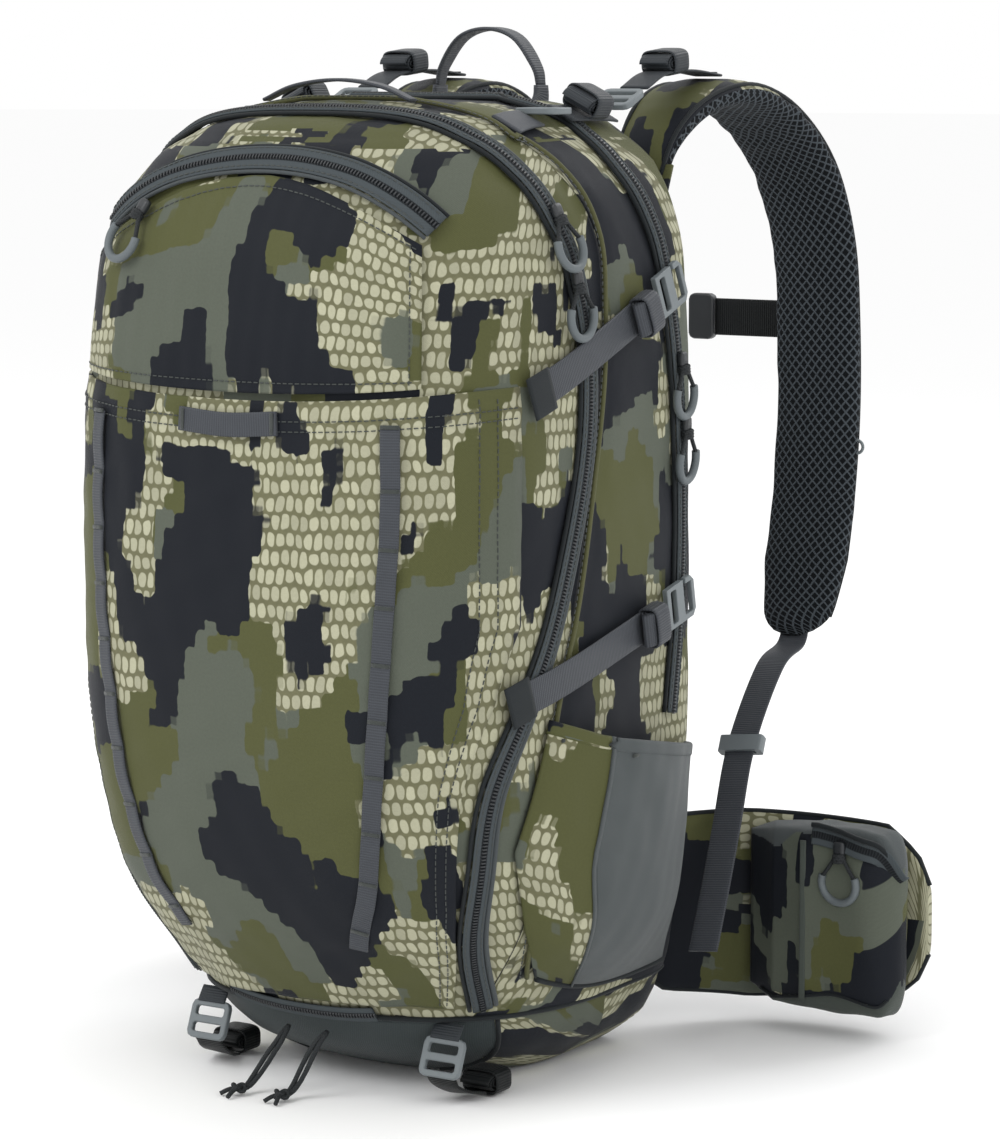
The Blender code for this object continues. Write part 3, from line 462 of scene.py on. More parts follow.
# %% [markdown]
# ## The form that everything is sewn around
# The filled bag is a stack of rounded sections. Each one is a superellipse, the closed curve where
# |x / a|^n + |y / b|^n = 1, whose size and roundness change smoothly with height. The same rule gives
# a gauge that is zero on the surface, so any seam, strap or zip can be dropped onto the bag.
# %% Stations of the bag
FRONT_DEPTH, BACK_DEPTH = 0.160, 0.118
STATIONS = np.array([
    (0.000, 0.563, 0.075, 0.055, 2.3), (0.034, 0.742, 0.375, 0.055, 2.3), (0.085, 0.848, 0.550, 0.045, 2.4),
    (0.136, 0.901, 0.675, 0.035, 2.6), (0.196, 0.947, 0.825, 0.020, 2.9), (0.306, 0.987, 0.950, 0.005, 3.3),
    (0.442, 1.000, 1.000, 0.000, 3.5), (0.629, 1.000, 1.000, 0.000, 3.5), (0.791, 0.980, 0.963, 0.000, 3.5),
    (0.876, 0.934, 0.900, 0.000, 3.5), (0.927, 0.854, 0.806, 0.000, 3.3), (0.961, 0.742, 0.688, 0.005, 3.0),
    (0.986, 0.576, 0.513, 0.010, 2.8), (1.000, 0.364, 0.281, 0.020, 2.6)])
SEAM = np.array([
    (0.000, -0.320), (0.170, -0.380), (0.405, -0.338), (0.514, -0.200), (0.610, -0.112),
    (0.689, -0.044), (0.767, 0.000), (0.895, 0.000), (0.963, -0.170), (1.0, -0.22)])
BACK_ROUNDNESS, BACK_REACH = 6.0, 0.022
NEWTON_STEPS = 12


# %% Sections, gauge and landing on the bag
def signed_power(wave, power):
    """The size of a sine or cosine raised to a power, with its sign kept: it squares a circle's corners."""
    return np.sign(wave) * np.abs(wave) ** power


def hermite(value, knots, column):
    """Smooth interpolation of one column of a table by its first column: a cubic through each pair of rows,
    whose slopes are the table's own."""
    places, values = knots[:, 0], knots[:, column]
    value = np.clip(value, places[0], places[-1])
    slopes = np.gradient(values, places)
    i = np.clip(np.searchsorted(places, value) - 1, 0, len(places) - 2)
    span = places[i + 1] - places[i]
    t = (value - places[i]) / span
    ends = (2 * t**3 - 3 * t**2 + 1) * values[i] + (3 * t**2 - 2 * t**3) * values[i + 1]
    return ends + (t**3 - 2 * t**2 + t) * span * slopes[i] + (t**3 - t**2) * span * slopes[i + 1]


def form_at(z):
    """Half width, front, widest line, back and front roundness of the bag at height z."""
    share = np.asarray(z, float) / PACK_HEIGHT
    half = hermite(share, STATIONS, 1) * PACK_WIDTH / 2
    front = -hermite(share, STATIONS, 2) * FRONT_DEPTH
    back = np.full_like(half, BACK_DEPTH + BACK_REACH) - 0.03 * np.clip(share - 0.94, 0, 1) / 0.06
    return half, front, hermite(share, STATIONS, 3), back, hermite(share, STATIONS, 4)


def gauge(points):
    """Zero on the bag's surface, below zero inside and above zero outside."""
    half, front, middle, back, roundness = form_at(points[:, 2])
    ahead = points[:, 1] < middle
    power = np.where(ahead, roundness, BACK_ROUNDNESS)
    depth = np.where(ahead, middle - front, back - middle)
    total = np.abs(points[:, 0] / half) ** power + np.abs((points[:, 1] - middle) / depth) ** power
    return total ** (1 / power) - 1


def slope_of_gauge(points):
    """The gauge's slope at each point: its change over a small step along each axis."""
    step = 2e-4
    slopes = [gauge(points + step * axis) - gauge(points - step * axis) for axis in np.eye(3)]
    return np.stack(slopes, axis=1) / (2 * step)


def on_bag(points, lift=0.0):
    """Points moved onto the bag's surface by Newton's steps along the gauge's slope, then lifted off it."""
    points = np.array(points, float)
    at_top = points * (1, 1, 0) + (0, 0, PACK_HEIGHT)
    capped = (gauge(at_top) < 0) & (points[:, 2] > 0.9 * PACK_HEIGHT)
    for _ in range(NEWTON_STEPS):
        slope = slope_of_gauge(points)
        step = (gauge(points) / (slope**2).sum(axis=1))[:, None] * slope
        points = np.where(capped[:, None], at_top, points - step)
    slope = slope_of_gauge(points)
    normal = unit(slope)
    normal[capped] = (0.0, 0.0, 1.0)
    return points + np.reshape(lift, (-1, 1)) * normal, normal


def unit(vectors):
    """The same directions with length 1."""
    return vectors / np.linalg.norm(vectors, axis=-1, keepdims=True)


def run_length(points):
    """Distance along a line of points, from its first one."""
    return np.concatenate([[0], np.cumsum(np.linalg.norm(np.diff(points, axis=0), axis=1))])


def evenly(points, count):
    """The same line of points, read again at an even spacing."""
    length = run_length(points)
    places = np.linspace(0, length[-1], count)
    return np.stack([np.interp(places, length, points[:, k]) for k in range(3)], axis=1)


def smooth_path(points, step):
    """A Catmull-Rom curve through the points, read again at an even step."""
    p = np.array(points, float)
    p = np.concatenate([2 * p[:1] - p[1:2], p, 2 * p[-1:] - p[-2:-1]])
    t = np.linspace(0, 1, 24, endpoint=False)[:, None]
    a, b, c, d = (p[k:len(p) - 3 + k, None, :] for k in range(4))
    fine = 0.5 * (2 * b + (c - a) * t + (2 * a - 5 * b + 4 * c - d) * t**2 + (3 * b - a - 3 * c + d) * t**3)
    fine = np.concatenate([fine.reshape(-1, 3), p[-2:-1]])
    return evenly(fine, max(3, int(round(run_length(fine)[-1] / step)) + 1))


def level_loop(z, first, last, count):
    """One level line round the bag between two angles, cut flat at the back and evenly spaced."""
    angle = np.linspace(first, last, 1200)
    half, front, middle, back, roundness = form_at(np.full(angle.shape, z))
    cosine, sine = np.cos(angle), np.sin(angle)
    power = np.where(sine < 0, roundness, BACK_ROUNDNESS)
    depth = np.where(sine < 0, middle - front, back - middle)
    x = half * signed_power(cosine, 2 / power)
    y = middle + depth * signed_power(sine, 2 / power)
    return evenly(np.stack([x, np.minimum(y, BACK_DEPTH), np.full(angle.shape, z)], axis=1), count)


def seam_angle(z, y):
    """Angle at which the section at height z passes depth y on the +X side."""
    _, front, middle, back, roundness = (float(v) for v in form_at(z))
    if y < middle:
        return -math.asin(min(1.0, ((middle - y) / (middle - front)) ** (roundness / 2)))
    return math.asin(min(1.0, ((y - middle) / (back - middle)) ** (BACK_ROUNDNESS / 2)))

# %% [markdown]
# ## Making a surface
# One helper turns a grid of points into a mesh, with a UV map in metres of cloth. A second one carries a
# profile along a path, which makes webbing, piping, tape and cord alike. A third lays small bars along a path,
# for the teeth of a zip and for stitches.


# %% Grid surfaces
def cloth_map(points, around=False):
    """U and V in metres: distances along the middle row and the middle column, both from the middle."""
    rows = np.concatenate([points, points[:, :1]], axis=1) if around else points
    u = np.concatenate([np.zeros((len(rows), 1)),
                        np.cumsum(np.linalg.norm(np.diff(rows, axis=1), axis=2), axis=1)], axis=1)
    u = u - u[:, u.shape[1] // 2][:, None]
    v = run_length(points[:, points.shape[1] // 2])
    return np.stack([u, np.broadcast_to(v[:, None], u.shape)], axis=-1)


def surface(name, points, material, body, nodes=(), around=False, closed=False, wall=0.0,
            outward=None, uv=None, smooth=True):
    """A grid of points joined by four-sided faces. Around joins its last column to its first; closed adds a
    fan of faces over each end. Its faces are turned to look outward, or out of its own volume."""
    rows, columns = points.shape[:2]
    uv = cloth_map(points, around) if uv is None else uv
    index = np.arange(rows * columns).reshape(rows, columns)
    wide = np.concatenate([index, index[:, :1]], axis=1) if around else index
    place = np.arange(rows * uv.shape[1]).reshape(rows, uv.shape[1])
    corners = [(slice(None, -1), slice(None, -1)), (slice(None, -1), slice(1, None)),
               (slice(1, None), slice(1, None)), (slice(1, None), slice(None, -1))]
    faces = np.stack([wide[c] for c in corners], axis=-1).reshape(-1, 4)
    spots = np.stack([place[c] for c in corners], axis=-1).reshape(-1, 4)
    flat = points.reshape(-1, 3)
    if outward is not None:
        a, b, c, d = (flat[faces[:, k]] for k in range(4))
        facing = (np.cross(c - a, d - b) * np.asarray(outward, float).reshape(-1, 3).mean(axis=0)).sum()
    else:
        a, b, c, d = (flat[faces[:, k]] - flat.mean(axis=0) for k in range(4))
        facing = (np.cross(c - a, d - b) * (a + b + c + d)).sum()
    turned = facing < 0
    faces, spots = (faces[:, ::-1], spots[:, ::-1]) if turned else (faces, spots)
    vertices, face_list = flat, faces.tolist()
    uv_flat = uv.reshape(-1, 2)
    loops = uv_flat[spots.reshape(-1)]
    if closed:
        for row, swap in ((0, not turned), (rows - 1, turned)):
            hub = len(vertices)
            vertices = np.concatenate([vertices, points[row].mean(axis=0)[None]])
            ring, ring_uv = wide[row], uv[row]
            hub_uv = ring_uv.mean(axis=0)
            for k in range(len(ring) - 1):
                face = [hub, int(ring[k + 1]), int(ring[k])] if swap else [hub, int(ring[k]), int(ring[k + 1])]
                mapped = [hub_uv, ring_uv[k + 1], ring_uv[k]] if swap else [hub_uv, ring_uv[k], ring_uv[k + 1]]
                face_list.append(face)
                loops = np.concatenate([loops, mapped]) if k == 0 else np.append(loops, mapped, axis=0)
    return finished(name, vertices, face_list, loops, material, body, nodes, wall, smooth)


def finished(name, vertices, faces, loops, material, body, nodes=(), wall=0.0, smooth=True):
    """Puts vertices, faces and UVs into a mesh object, parents it to its body's empty and hides the measured parts
    that it replaces.
    """
    mesh = bpy.data.meshes.new(name)
    mesh.from_pydata(np.asarray(vertices).tolist(), [], faces)
    mesh.uv_layers.new(name="cloth").data.foreach_set("uv", np.asarray(loops, np.float32).reshape(-1))
    mesh.polygons.foreach_set("use_smooth", [smooth] * len(mesh.polygons))
    mesh.materials.append(material)
    piece = bpy.data.objects.new(name, mesh)
    bpy.context.scene.collection.objects.link(piece)
    if wall:
        solid = piece.modifiers.new("wall", "SOLIDIFY")
        solid.thickness, solid.offset, solid.use_even_offset = wall, -1.0, False
    if body:
        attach(piece, body)
    if nodes:
        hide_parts(*nodes)
    return piece


# %% Profiles carried along a path
def flat_profile(width, wall, ends=3):
    """Webbing's cross-section: a thin rectangle with half-round edges, as across and up distances."""
    top = np.linspace(-width / 2 + wall / 2, width / 2 - wall / 2, 6)
    turn = np.linspace(math.pi / 2, -math.pi / 2, ends + 2)[1:-1]
    right = np.stack([width / 2 - wall / 2 + wall / 2 * np.cos(turn), wall / 2 * np.sin(turn)], axis=1)
    upper = np.stack([top, np.full(6, wall / 2)], axis=1)
    half = np.concatenate([upper, right])
    return np.concatenate([half, -half])


def round_profile(radius, sides):
    """A circle of points, turned the same way round as a flat profile."""
    angle = np.linspace(0, 2 * math.pi, sides, endpoint=False)[::-1]
    return np.stack([radius * np.cos(angle), radius * np.sin(angle)], axis=1)


STRAP_WIDTH, WEB_THICKNESS = 0.0200, 0.0017
STRAP_PROFILE = flat_profile(STRAP_WIDTH, WEB_THICKNESS)
WIDE_STRAP = 0.0250


def carried(name, path, normal, profile, material, body, nodes=(), width=None, closed=True):
    """A profile carried along a path: its across lies along normal x tangent and its up along the normal.
    Width scales its across distances along the way."""
    path = np.asarray(path, float)
    tangent = unit(np.gradient(path, axis=0))
    normal = np.broadcast_to(np.asarray(normal, float), path.shape)
    normal = unit(normal - (normal * tangent).sum(axis=1)[:, None] * tangent)
    side = np.cross(normal, tangent)
    scale = np.ones(len(path)) if width is None else np.interp(
        np.linspace(0, 1, len(path)), np.linspace(0, 1, len(width)), width)
    across = profile[None, :, :1] * scale[:, None, None]
    points = path[:, None] + across * side[:, None] + profile[None, :, 1:] * normal[:, None]
    outline = np.concatenate([profile, profile[:1]])
    u = np.concatenate([[0], np.cumsum(np.linalg.norm(np.diff(outline, axis=0), axis=1))]) + outline[0, 0]
    v = run_length(path)
    uv = np.stack(np.broadcast_arrays(u[None, :], v[:, None]), axis=-1)
    return surface(name, points, material, body, nodes, around=True, closed=closed, uv=uv)


def bound(name, path, normal, radius, body="bag", material=DARK_PIPING, sides=8):
    """Round piping along a path, as on a bound seam."""
    return carried(name, path, normal, round_profile(radius, sides), material, body)


def sewn_on(name, route, profile, lift, material, nodes=(), step=0.004, width=None):
    """A profile carried along a route on the bag, lifted off it."""
    middle, normal = on_bag(smooth_path(route, step), lift)
    return carried(name, middle, normal, profile, material, "bag", nodes, width)


def bars(name, centre, tangent, up, size, foot, top, along, material, body):
    """Small bars laid along a path: half their length and width, and their height, are given, with the foot's
    height in shares of it and the top's size in shares of the foot's. V is the distance along the path."""
    side = unit(np.cross(up, tangent))
    box = np.array([(a, b, c) for a in (-1, 1) for b in (-1, 1) for c in (foot, 1)], float)
    box *= size
    box[:, :2] *= np.where(box[:, 2:] > 0, top, 1.0)
    corners = (centre[:, None] + box[None, :, :1] * tangent[:, None] + box[None, :, 1:2] * side[:, None]
               + box[None, :, 2:] * up[:, None])
    quads = np.array([(0, 1, 3, 2), (4, 6, 7, 5), (0, 4, 5, 1), (2, 3, 7, 6), (1, 5, 7, 3), (0, 2, 6, 4)])
    faces = (quads[None] + 8 * np.arange(len(centre))[:, None, None]).reshape(-1, 4)
    v = np.repeat(along, quads.size)
    return finished(name, corners.reshape(-1, 3), faces.tolist(), np.stack([0 * v, v], axis=1), material, body,
                    smooth=False)


def two_cloths(piece, second, chosen):
    """Gives a second material to the faces whose middle point passes the test."""
    mesh = piece.data
    mesh.materials.append(second)
    normals, centres = np.zeros(len(mesh.polygons) * 3), np.zeros(len(mesh.polygons) * 3)
    mesh.polygons.foreach_get("normal", normals)
    mesh.polygons.foreach_get("center", centres)
    index = chosen(centres.reshape(-1, 3), normals.reshape(-1, 3)).astype(np.int32)
    number = len(mesh.materials) - 1
    old = np.zeros(len(index), np.int32)
    mesh.polygons.foreach_get("material_index", old)
    mesh.polygons.foreach_set("material_index", np.where(index > 0, number, old))
    mesh.update()


def flat_print_on_top(piece, steep=0.80):
    """Faces that look up take their print straight from above, so it doesn't pinch where rows close in."""
    mesh = piece.data
    normals, starts = np.zeros(len(mesh.polygons) * 3), np.zeros(len(mesh.polygons), np.int32)
    corners, spots = np.zeros(len(mesh.loops), np.int32), np.zeros(len(mesh.vertices) * 3)
    mesh.polygons.foreach_get("normal", normals)
    mesh.polygons.foreach_get("loop_start", starts)
    mesh.loops.foreach_get("vertex_index", corners)
    mesh.vertices.foreach_get("co", spots)
    owner = np.searchsorted(starts, np.arange(len(corners)), side="right") - 1
    uv = np.zeros(len(corners) * 2)
    mesh.uv_layers["cloth"].data.foreach_get("uv", uv)
    seen_from_above = normals.reshape(-1, 3)[owner, 2] > steep
    flat = spots.reshape(-1, 3)[corners, :2] + (0.31, 0.47)
    mapped = np.where(seen_from_above[:, None], flat, uv.reshape(-1, 2))
    mesh.uv_layers["cloth"].data.foreach_set("uv", mapped.astype(np.float32).reshape(-1))

# %% [markdown]
# ## The two compartments
# The real bag is two cloth boxes joined by a seam that runs up both sides and over the top. Each is a shell
# lofted from level loops. Cloth is never as smooth as the form under it, so the relief adds slow swells, a
# fine pucker that fades away from the seams, and a fuller body between them.
# %% Seams and zip lines of the bag
FRONT_ZIP_SIDE = [(0.1, -0.056, 0.062), (0.120, -0.093, 0.10), (0.130, -0.103, 0.15), (0.137, -0.103, 0.20),
                  (0.146, -0.080, 0.25), (0.149, -0.062, 0.285), (0.151, -0.045, 0.327),
                  (0.151, -0.028, 0.377), (0.150, -0.022, 0.417), (0.149, -0.023, 0.458),
                  (0.145, -0.031, 0.495), (0.138, -0.043, 0.524), (0.120, -0.058, 0.553), (0.090, -0.068, 0.572)]
MAIN_ZIP_SIDE = [(0.150, 0.078, 0.220), (0.150, 0.086, 0.276), (0.150, 0.089, 0.336), (0.149, 0.087, 0.397),
                 (0.148, 0.081, 0.452), (0.145, 0.074, 0.494), (0.138, 0.066, 0.523), (0.128, 0.055, 0.546),
                 (0.110, 0.047, 0.562)]


def across_the_top(side_run, *middle):
    """A route up one side, through the middle points of the top, and down the other side."""
    over = list(middle) + [(-x, y, z) for x, y, z in reversed(middle[:-1])]
    return side_run + over + [(-x, y, z) for x, y, z in reversed(side_run)]


FRONT_ZIP = across_the_top(FRONT_ZIP_SIDE, (0.045, -0.073, 0.581), (0.0, -0.074, 0.582))
MAIN_ZIP = across_the_top(MAIN_ZIP_SIDE, (0.080, 0.044, 0.579), (0.0, 0.042, 0.588))
SEAM_HEIGHTS = np.concatenate([np.linspace(0.055, 0.50, 14), np.linspace(0.52, 0.585, 6)])
SEAM_SIDE = [(0.152 if z < 0.5 else 0.11, float(hermite(z / PACK_HEIGHT, SEAM, 1)) * FRONT_DEPTH, z)
             for z in SEAM_HEIGHTS]
MID_SEAM = across_the_top(SEAM_SIDE, (0.030, -0.0355, 0.588), (0.0, -0.0355, 0.588))
ZIP_LINES = [on_bag(smooth_path(route, 0.006))[0] for route in (FRONT_ZIP, MAIN_ZIP, MID_SEAM)]


def away_from(points, line):
    """Distance of each point from the nearest point of a line."""
    nearest = np.full(len(points), 1e9)
    for start in range(0, len(points), 8000):
        part = points[start:start + 8000]
        gaps = ((part[:, None] - line[None]) ** 2).sum(axis=2)
        nearest[start:start + 8000] = np.sqrt(gaps.min(axis=1))
    return nearest


def swells(points, seed, size, count=7):
    """Slow random swells from -1 to 1: a mean of sine waves in random directions, about size apart."""
    rng = np.random.default_rng(seed)
    waves = unit(rng.normal(size=(count, 3))) * 2 * math.pi / (size * rng.uniform(0.7, 1.6, (count, 1)))
    return np.sin(points @ waves.T + rng.uniform(0, 6.28, count)).mean(axis=1) * 1.6


def cloth_relief(points, normals, seed, fullness):
    """Lift of the cloth off the form: swells, puckers at the seams, and fullness between them."""
    seams = np.min([away_from(points, line) for line in ZIP_LINES], axis=0)
    open_side = np.clip(np.maximum(np.abs(normals[:, 0]), normals[:, 2]) * 1.8 - 0.9, 0, 1)
    full = fullness * open_side * (1 - np.exp(-(seams / 0.014) ** 2))
    pucker = 0.0007 * np.exp(-seams / 0.010) * swells(points, seed + 1, 0.011)
    slow = 0.0007 * swells(points, seed, 0.075) + 0.0004 * swells(points, seed + 2, 0.030)
    return full + pucker + slow - 0.0006


# %% Compartment shells
def shell(name, low, first_at, last_at, columns, seed, material, nodes):
    """Level loops from the base seam up, spaced by the length of the profile, then a low dome over the top.
    The last columns run back through the inside, so that the shell is a closed pocket."""
    fine = np.linspace(low, PACK_HEIGHT, 3000)
    half, front = form_at(fine)[:2]
    length = run_length(np.stack([half, front, fine], axis=1))
    heights = np.interp(np.linspace(0, length[-1], 200), length, fine)
    loops, inner = [], []
    for z in heights:
        loop = level_loop(z, first_at(z), last_at(z), columns)
        loops.append(loop)
        inner.append(loop[-1] + np.linspace(0, 1, 8)[1:-1, None] * (loop[0] - loop[-1]))
    outer = np.array(loops)
    flat = outer.reshape(-1, 3)
    normals = unit(slope_of_gauge(flat))
    flat_back = flat[:, 1] > BACK_DEPTH - 1e-4
    normals[flat_back] = (0, 1, 0)
    # The relief fades at the seams, over the flat back and at the very top, where shells and dome meet.
    edge = np.minimum(np.arange(columns), np.arange(columns)[::-1]) / 5
    fade = np.tile(np.clip(edge, 0, 1), len(heights)) * np.where(flat_back, 0.0, 1.0)
    top = np.clip((PACK_HEIGHT - flat[:, 2]) / 0.004, 0, 1)
    relief = cloth_relief(flat, normals, seed, 0.0026) * fade * top
    outer = (flat + relief[:, None] * normals).reshape(outer.shape)
    rings = np.concatenate([outer, np.array(inner)], axis=1)
    hub = rings[-1].mean(axis=0)
    shares = np.linspace(1, 0, 14)[1:-1]
    caps = [hub + (rings[-1] - hub) * share + (0, 0, 0.0012 * math.sin(math.pi / 2 * (1 - share)))
            for share in shares]
    rings = np.concatenate([rings, caps])
    return surface(name, rings, material, "bag", nodes, around=True, closed=True)


def front_edge(z, offset):
    """Angle of the seam between the compartments at height z, moved back by an offset."""
    return seam_angle(z, float(hermite(z / PACK_HEIGHT, SEAM, 1)) * FRONT_DEPTH + offset)


LOW = BASE_HEIGHT + 0.0003
front_shell = shell("front_shell", LOW, lambda z: -math.pi - front_edge(z, -0.0003),
                    lambda z: front_edge(z, -0.0003), 230, 3, CAMO["front"], ["front_compartment"])
main_shell = shell("main_shell", LOW, lambda z: front_edge(z, 0.0003),
                   lambda z: math.pi - front_edge(z, 0.0003), 230, 17, CAMO["main"], ["main_compartment"])
flat_print_on_top(front_shell)
flat_print_on_top(main_shell)
print("shells:", len(front_shell.data.polygons), len(main_shell.data.polygons), "faces")

# %% [markdown]
# ## Base boot and front panels
# A tougher grey cloth covers the base. The front carries a large stash panel, sewn down its sides and
# open at its hem, and above it the top pocket. Both are padded a little, so they are sheets that follow
# the bag at a small lift, with a raised folded hem and sunken seams.
# %% Base boot
PIPING_RADIUS = 0.0016


def base_loops():
    """Level loops of the base, drawn in towards its middle near the floor."""
    heights = BASE_HEIGHT * np.concatenate([[0.0, 0.02, 0.06], np.linspace(0.12, 1, 14)])
    tuck = np.array([0.012, 0.004, 0.0008] + [0.0] * 14)
    loops = []
    for z, inward in zip(heights, tuck):
        loop = level_loop(z, 0, 2 * math.pi, 241)[:-1]
        centre = loop.mean(axis=0)
        loops.append(centre + (loop - centre) * (1 - inward / 0.12) * (1, 1, 0))
    return np.array(loops)


loops = base_loops()
flat = loops.reshape(-1, 3)
crease = 0.0008 * swells(flat, 8, 0.035) - 0.0008
crease *= np.clip(flat[:, 2] / 0.012, 0, 1) * (flat[:, 1] < BACK_DEPTH - 0.002)
outward = unit((flat - flat.mean(axis=0)) * (1, 1, 0))
base = surface("base_shell", (flat + crease[:, None] * outward).reshape(loops.shape), BOOT, "bag",
               ["base_boot"], around=True, closed=True)
two_cloths(base, CAMO["side"], lambda centres, normals: (centres[:, 1] > -0.012 - 0.64 * centres[:, 2])
           & (normals[:, 2] > -0.9))
for tag, side in SIDES:
    heights = np.linspace(0.004, BASE_HEIGHT, 24)
    depth_at = -0.012 - 0.64 * heights
    half, front, widest, _, power = form_at(heights)
    reach = np.clip(1 - ((widest - depth_at) / (widest - front)) ** power, 0, 1) ** (1 / power)
    diagonal = np.stack([side * half * reach, depth_at, heights], axis=1)
    bound("base_corner_seam_" + tag, diagonal, unit(slope_of_gauge(diagonal)), PIPING_RADIUS)


def round_the_bag(z, first, last, step=0.006):
    """A level route on the bag between two angles."""
    loop = level_loop(z, first, last, 400)
    return evenly(loop, int(run_length(loop)[-1] / step))


seam_line = round_the_bag(BASE_HEIGHT + 0.0015, -math.pi - 0.55, 0.55)
middle, normal = on_bag(seam_line, 0.0008)
bound("base_seam_piping", middle, normal, PIPING_RADIUS)

# %% [markdown]
# ### The two front panels
# A panel could be cut from the bag's own mesh, but a grid between two heights keeps its edges straight and its
# rows along the hem. Each grid is dropped on the bag, lifted by the sum of its padding and folds, and given a wall.


# %% Panels on the front
def front_patch(low, high, left, right, rows, columns):
    """A patch on the front between two heights, given as functions of x, and two reaches across."""
    x = np.linspace(left, right, columns)
    share = np.linspace(0, 1, rows)[:, None]
    z = low(x)[None, :] * (1 - share) + high(x)[None, :] * share
    half, front, middle, _, power = form_at(z)
    narrowing = np.interp(z / PACK_HEIGHT, [0.105, 0.17, 0.22, 0.34, 0.425, 0.50],
                          [0.715, 0.785, 0.825, 0.880, 0.960, 1.0])
    reach = np.abs(x)[None, :] / (PACK_WIDTH / 2) * narrowing
    angle = -math.pi / 2 + np.sign(x)[None, :] * np.arccos(np.sqrt(1 - reach**power))
    sine, cosine = np.sin(angle), np.cos(angle)
    points = np.stack([half * signed_power(cosine, 2 / power),
                       middle - (middle - front) * np.abs(sine) ** (2 / power), z], axis=-1)
    return on_bag(points.reshape(-1, 3))


def border(rows, columns, spacing):
    """Distance in metres of each grid point from the patch's own edge, from its rows and columns."""
    i = np.minimum(np.arange(rows), np.arange(rows)[::-1])[:, None] * spacing[0]
    j = np.minimum(np.arange(columns), np.arange(columns)[::-1])[None, :] * spacing[1]
    return np.minimum(i, j).reshape(-1)


PANEL_LOW, PANEL_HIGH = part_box("front_overlay")[0].z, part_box("front_overlay")[1].z
CHAIN_X = np.array([0.105, 0.105, 0.101, 0.096, 0.090, 0.081, 0.069])
CHAIN_Z = np.array([0.410, 0.357, 0.301, 0.244, 0.185, 0.122, 0.074])
rows, columns = 190, 170
seat, normal = front_patch(lambda x: PANEL_LOW + 0 * x, lambda x: PANEL_HIGH + 0.008 * (np.abs(x) / 0.14) ** 2,
                           -0.1455, 0.1455, rows, columns)
edge = border(rows, columns, (0.0019, 0.0020))
chain_gap = np.abs(np.abs(seat[:, 0]) - np.interp(seat[:, 2], CHAIN_Z[::-1], CHAIN_X[::-1]))
hem = np.clip(1 - np.abs(PANEL_HIGH - 0.005 - seat[:, 2]) / 0.009, 0, 1)
# The panel stands off the bag, is padded between its sewn edges and dips under each ladder strap. Then come the
# raised hem, slow swells, upright gathers near the hem and level folds near the foot.
lift = 0.0033 + 0.0016 * (1 - np.exp(-(edge / 0.010) ** 2)) - 0.0011 * np.exp(-(chain_gap / 0.009) ** 2)
lift += 0.0007 * hem + 0.0006 * swells(seat, 31, 0.070) + 0.0005 * swells(seat, 32, 0.028)
lift += 0.0007 * swells(seat * (2.2, 1, 0.5), 34, 0.045) * np.clip((seat[:, 2] - 0.30) / 0.1, 0, 1)
lift += 0.0009 * swells(seat * (0.6, 1, 2.0), 35, 0.040) * np.clip((0.13 - seat[:, 2]) / 0.06, 0, 1)
panel = (seat + lift[:, None] * normal).reshape(rows, columns, 3)
surface("stash_panel", panel, CAMO["panel"], "bag", ["front_overlay"], wall=0.0024,
        outward=(0, -1, 0))


def top_zip_height(x):
    """The top pocket's zip is a low parabola over x."""
    return 0.554 - 2.8 * x**2


rows, columns = 80, 130
seat, normal = front_patch(lambda x: PANEL_HIGH + 0.004 + 0.008 * (np.abs(x) / 0.14) ** 2,
                           lambda x: top_zip_height(x) - 0.0085, -0.128, 0.114, rows, columns)
edge = border(rows, columns, (0.0012, 0.0018))
lift = 0.0028 + 0.0022 * (1 - np.exp(-(edge / 0.012) ** 2)) + 0.0007 * swells(seat, 41, 0.05)
lift += 0.0007 * swells(seat * (1.6, 1, 0.6), 42, 0.03)
pocket = (seat + lift[:, None] * normal).reshape(rows, columns, 3)
surface("top_pocket", pocket, CAMO["pocket"], "bag", ["top_pocket_panel"], wall=0.0024,
        outward=(0, -1, 0))
print("front panels sewn on, hem at %.3f m" % PANEL_HIGH)

# %% [markdown]
# ## Bottle pockets
# Each pocket is one curved wall, sewn to the bag at its front, back and foot, and held open by the bottle's
# room inside it. Its front quarter is printed cloth and the rest is a plain stretch knit with an elastic rim.


# %% Bottle pockets
def pocket_wall(side, first, last, columns=60, rows=70):
    """Part of the pocket's wall between two shares of its way from front to back."""
    u = np.linspace(first, last, columns)
    v = np.linspace(0, 1, rows) ** 1.15
    top = np.interp(u, [0, 0.2, 0.55, 1], [0.232, 0.220, 0.209, 0.194])
    low = np.interp(u, [0, 0.3, 0.7, 1], [0.060, 0.055, 0.052, 0.052])
    z = low + v[:, None] * (top - low)[None, :]
    edge = np.interp(z[:, 0] / PACK_HEIGHT, [0.09, 0.17, 0.27, 0.40], [-0.28, -0.43, -0.55, -0.39])
    edge = edge * FRONT_DEPTH
    y = edge[:, None] + u[None, :] * (BACK_DEPTH - 0.016 - edge[:, None])
    points = np.stack([np.full_like(y, side * PACK_WIDTH / 2), y, z], axis=-1).reshape(-1, 3)
    seated, normal = on_bag(points)
    swell = np.sin(math.pi * u)[None, :] ** 0.8 * np.sin(np.minimum(v * 2.2, 1) * math.pi / 2)[:, None]
    lift = 0.0035 + 0.026 * swell.reshape(-1)
    free = np.clip(swell.reshape(-1) * 2, 0, 1)
    lift += free * (0.0010 * swells(seated, 51, 0.06) + 0.0006 * swells(seated * (1, 2, 0.6), 52, 0.03))
    return (seated + normal * lift[:, None]).reshape(rows, columns, 3)


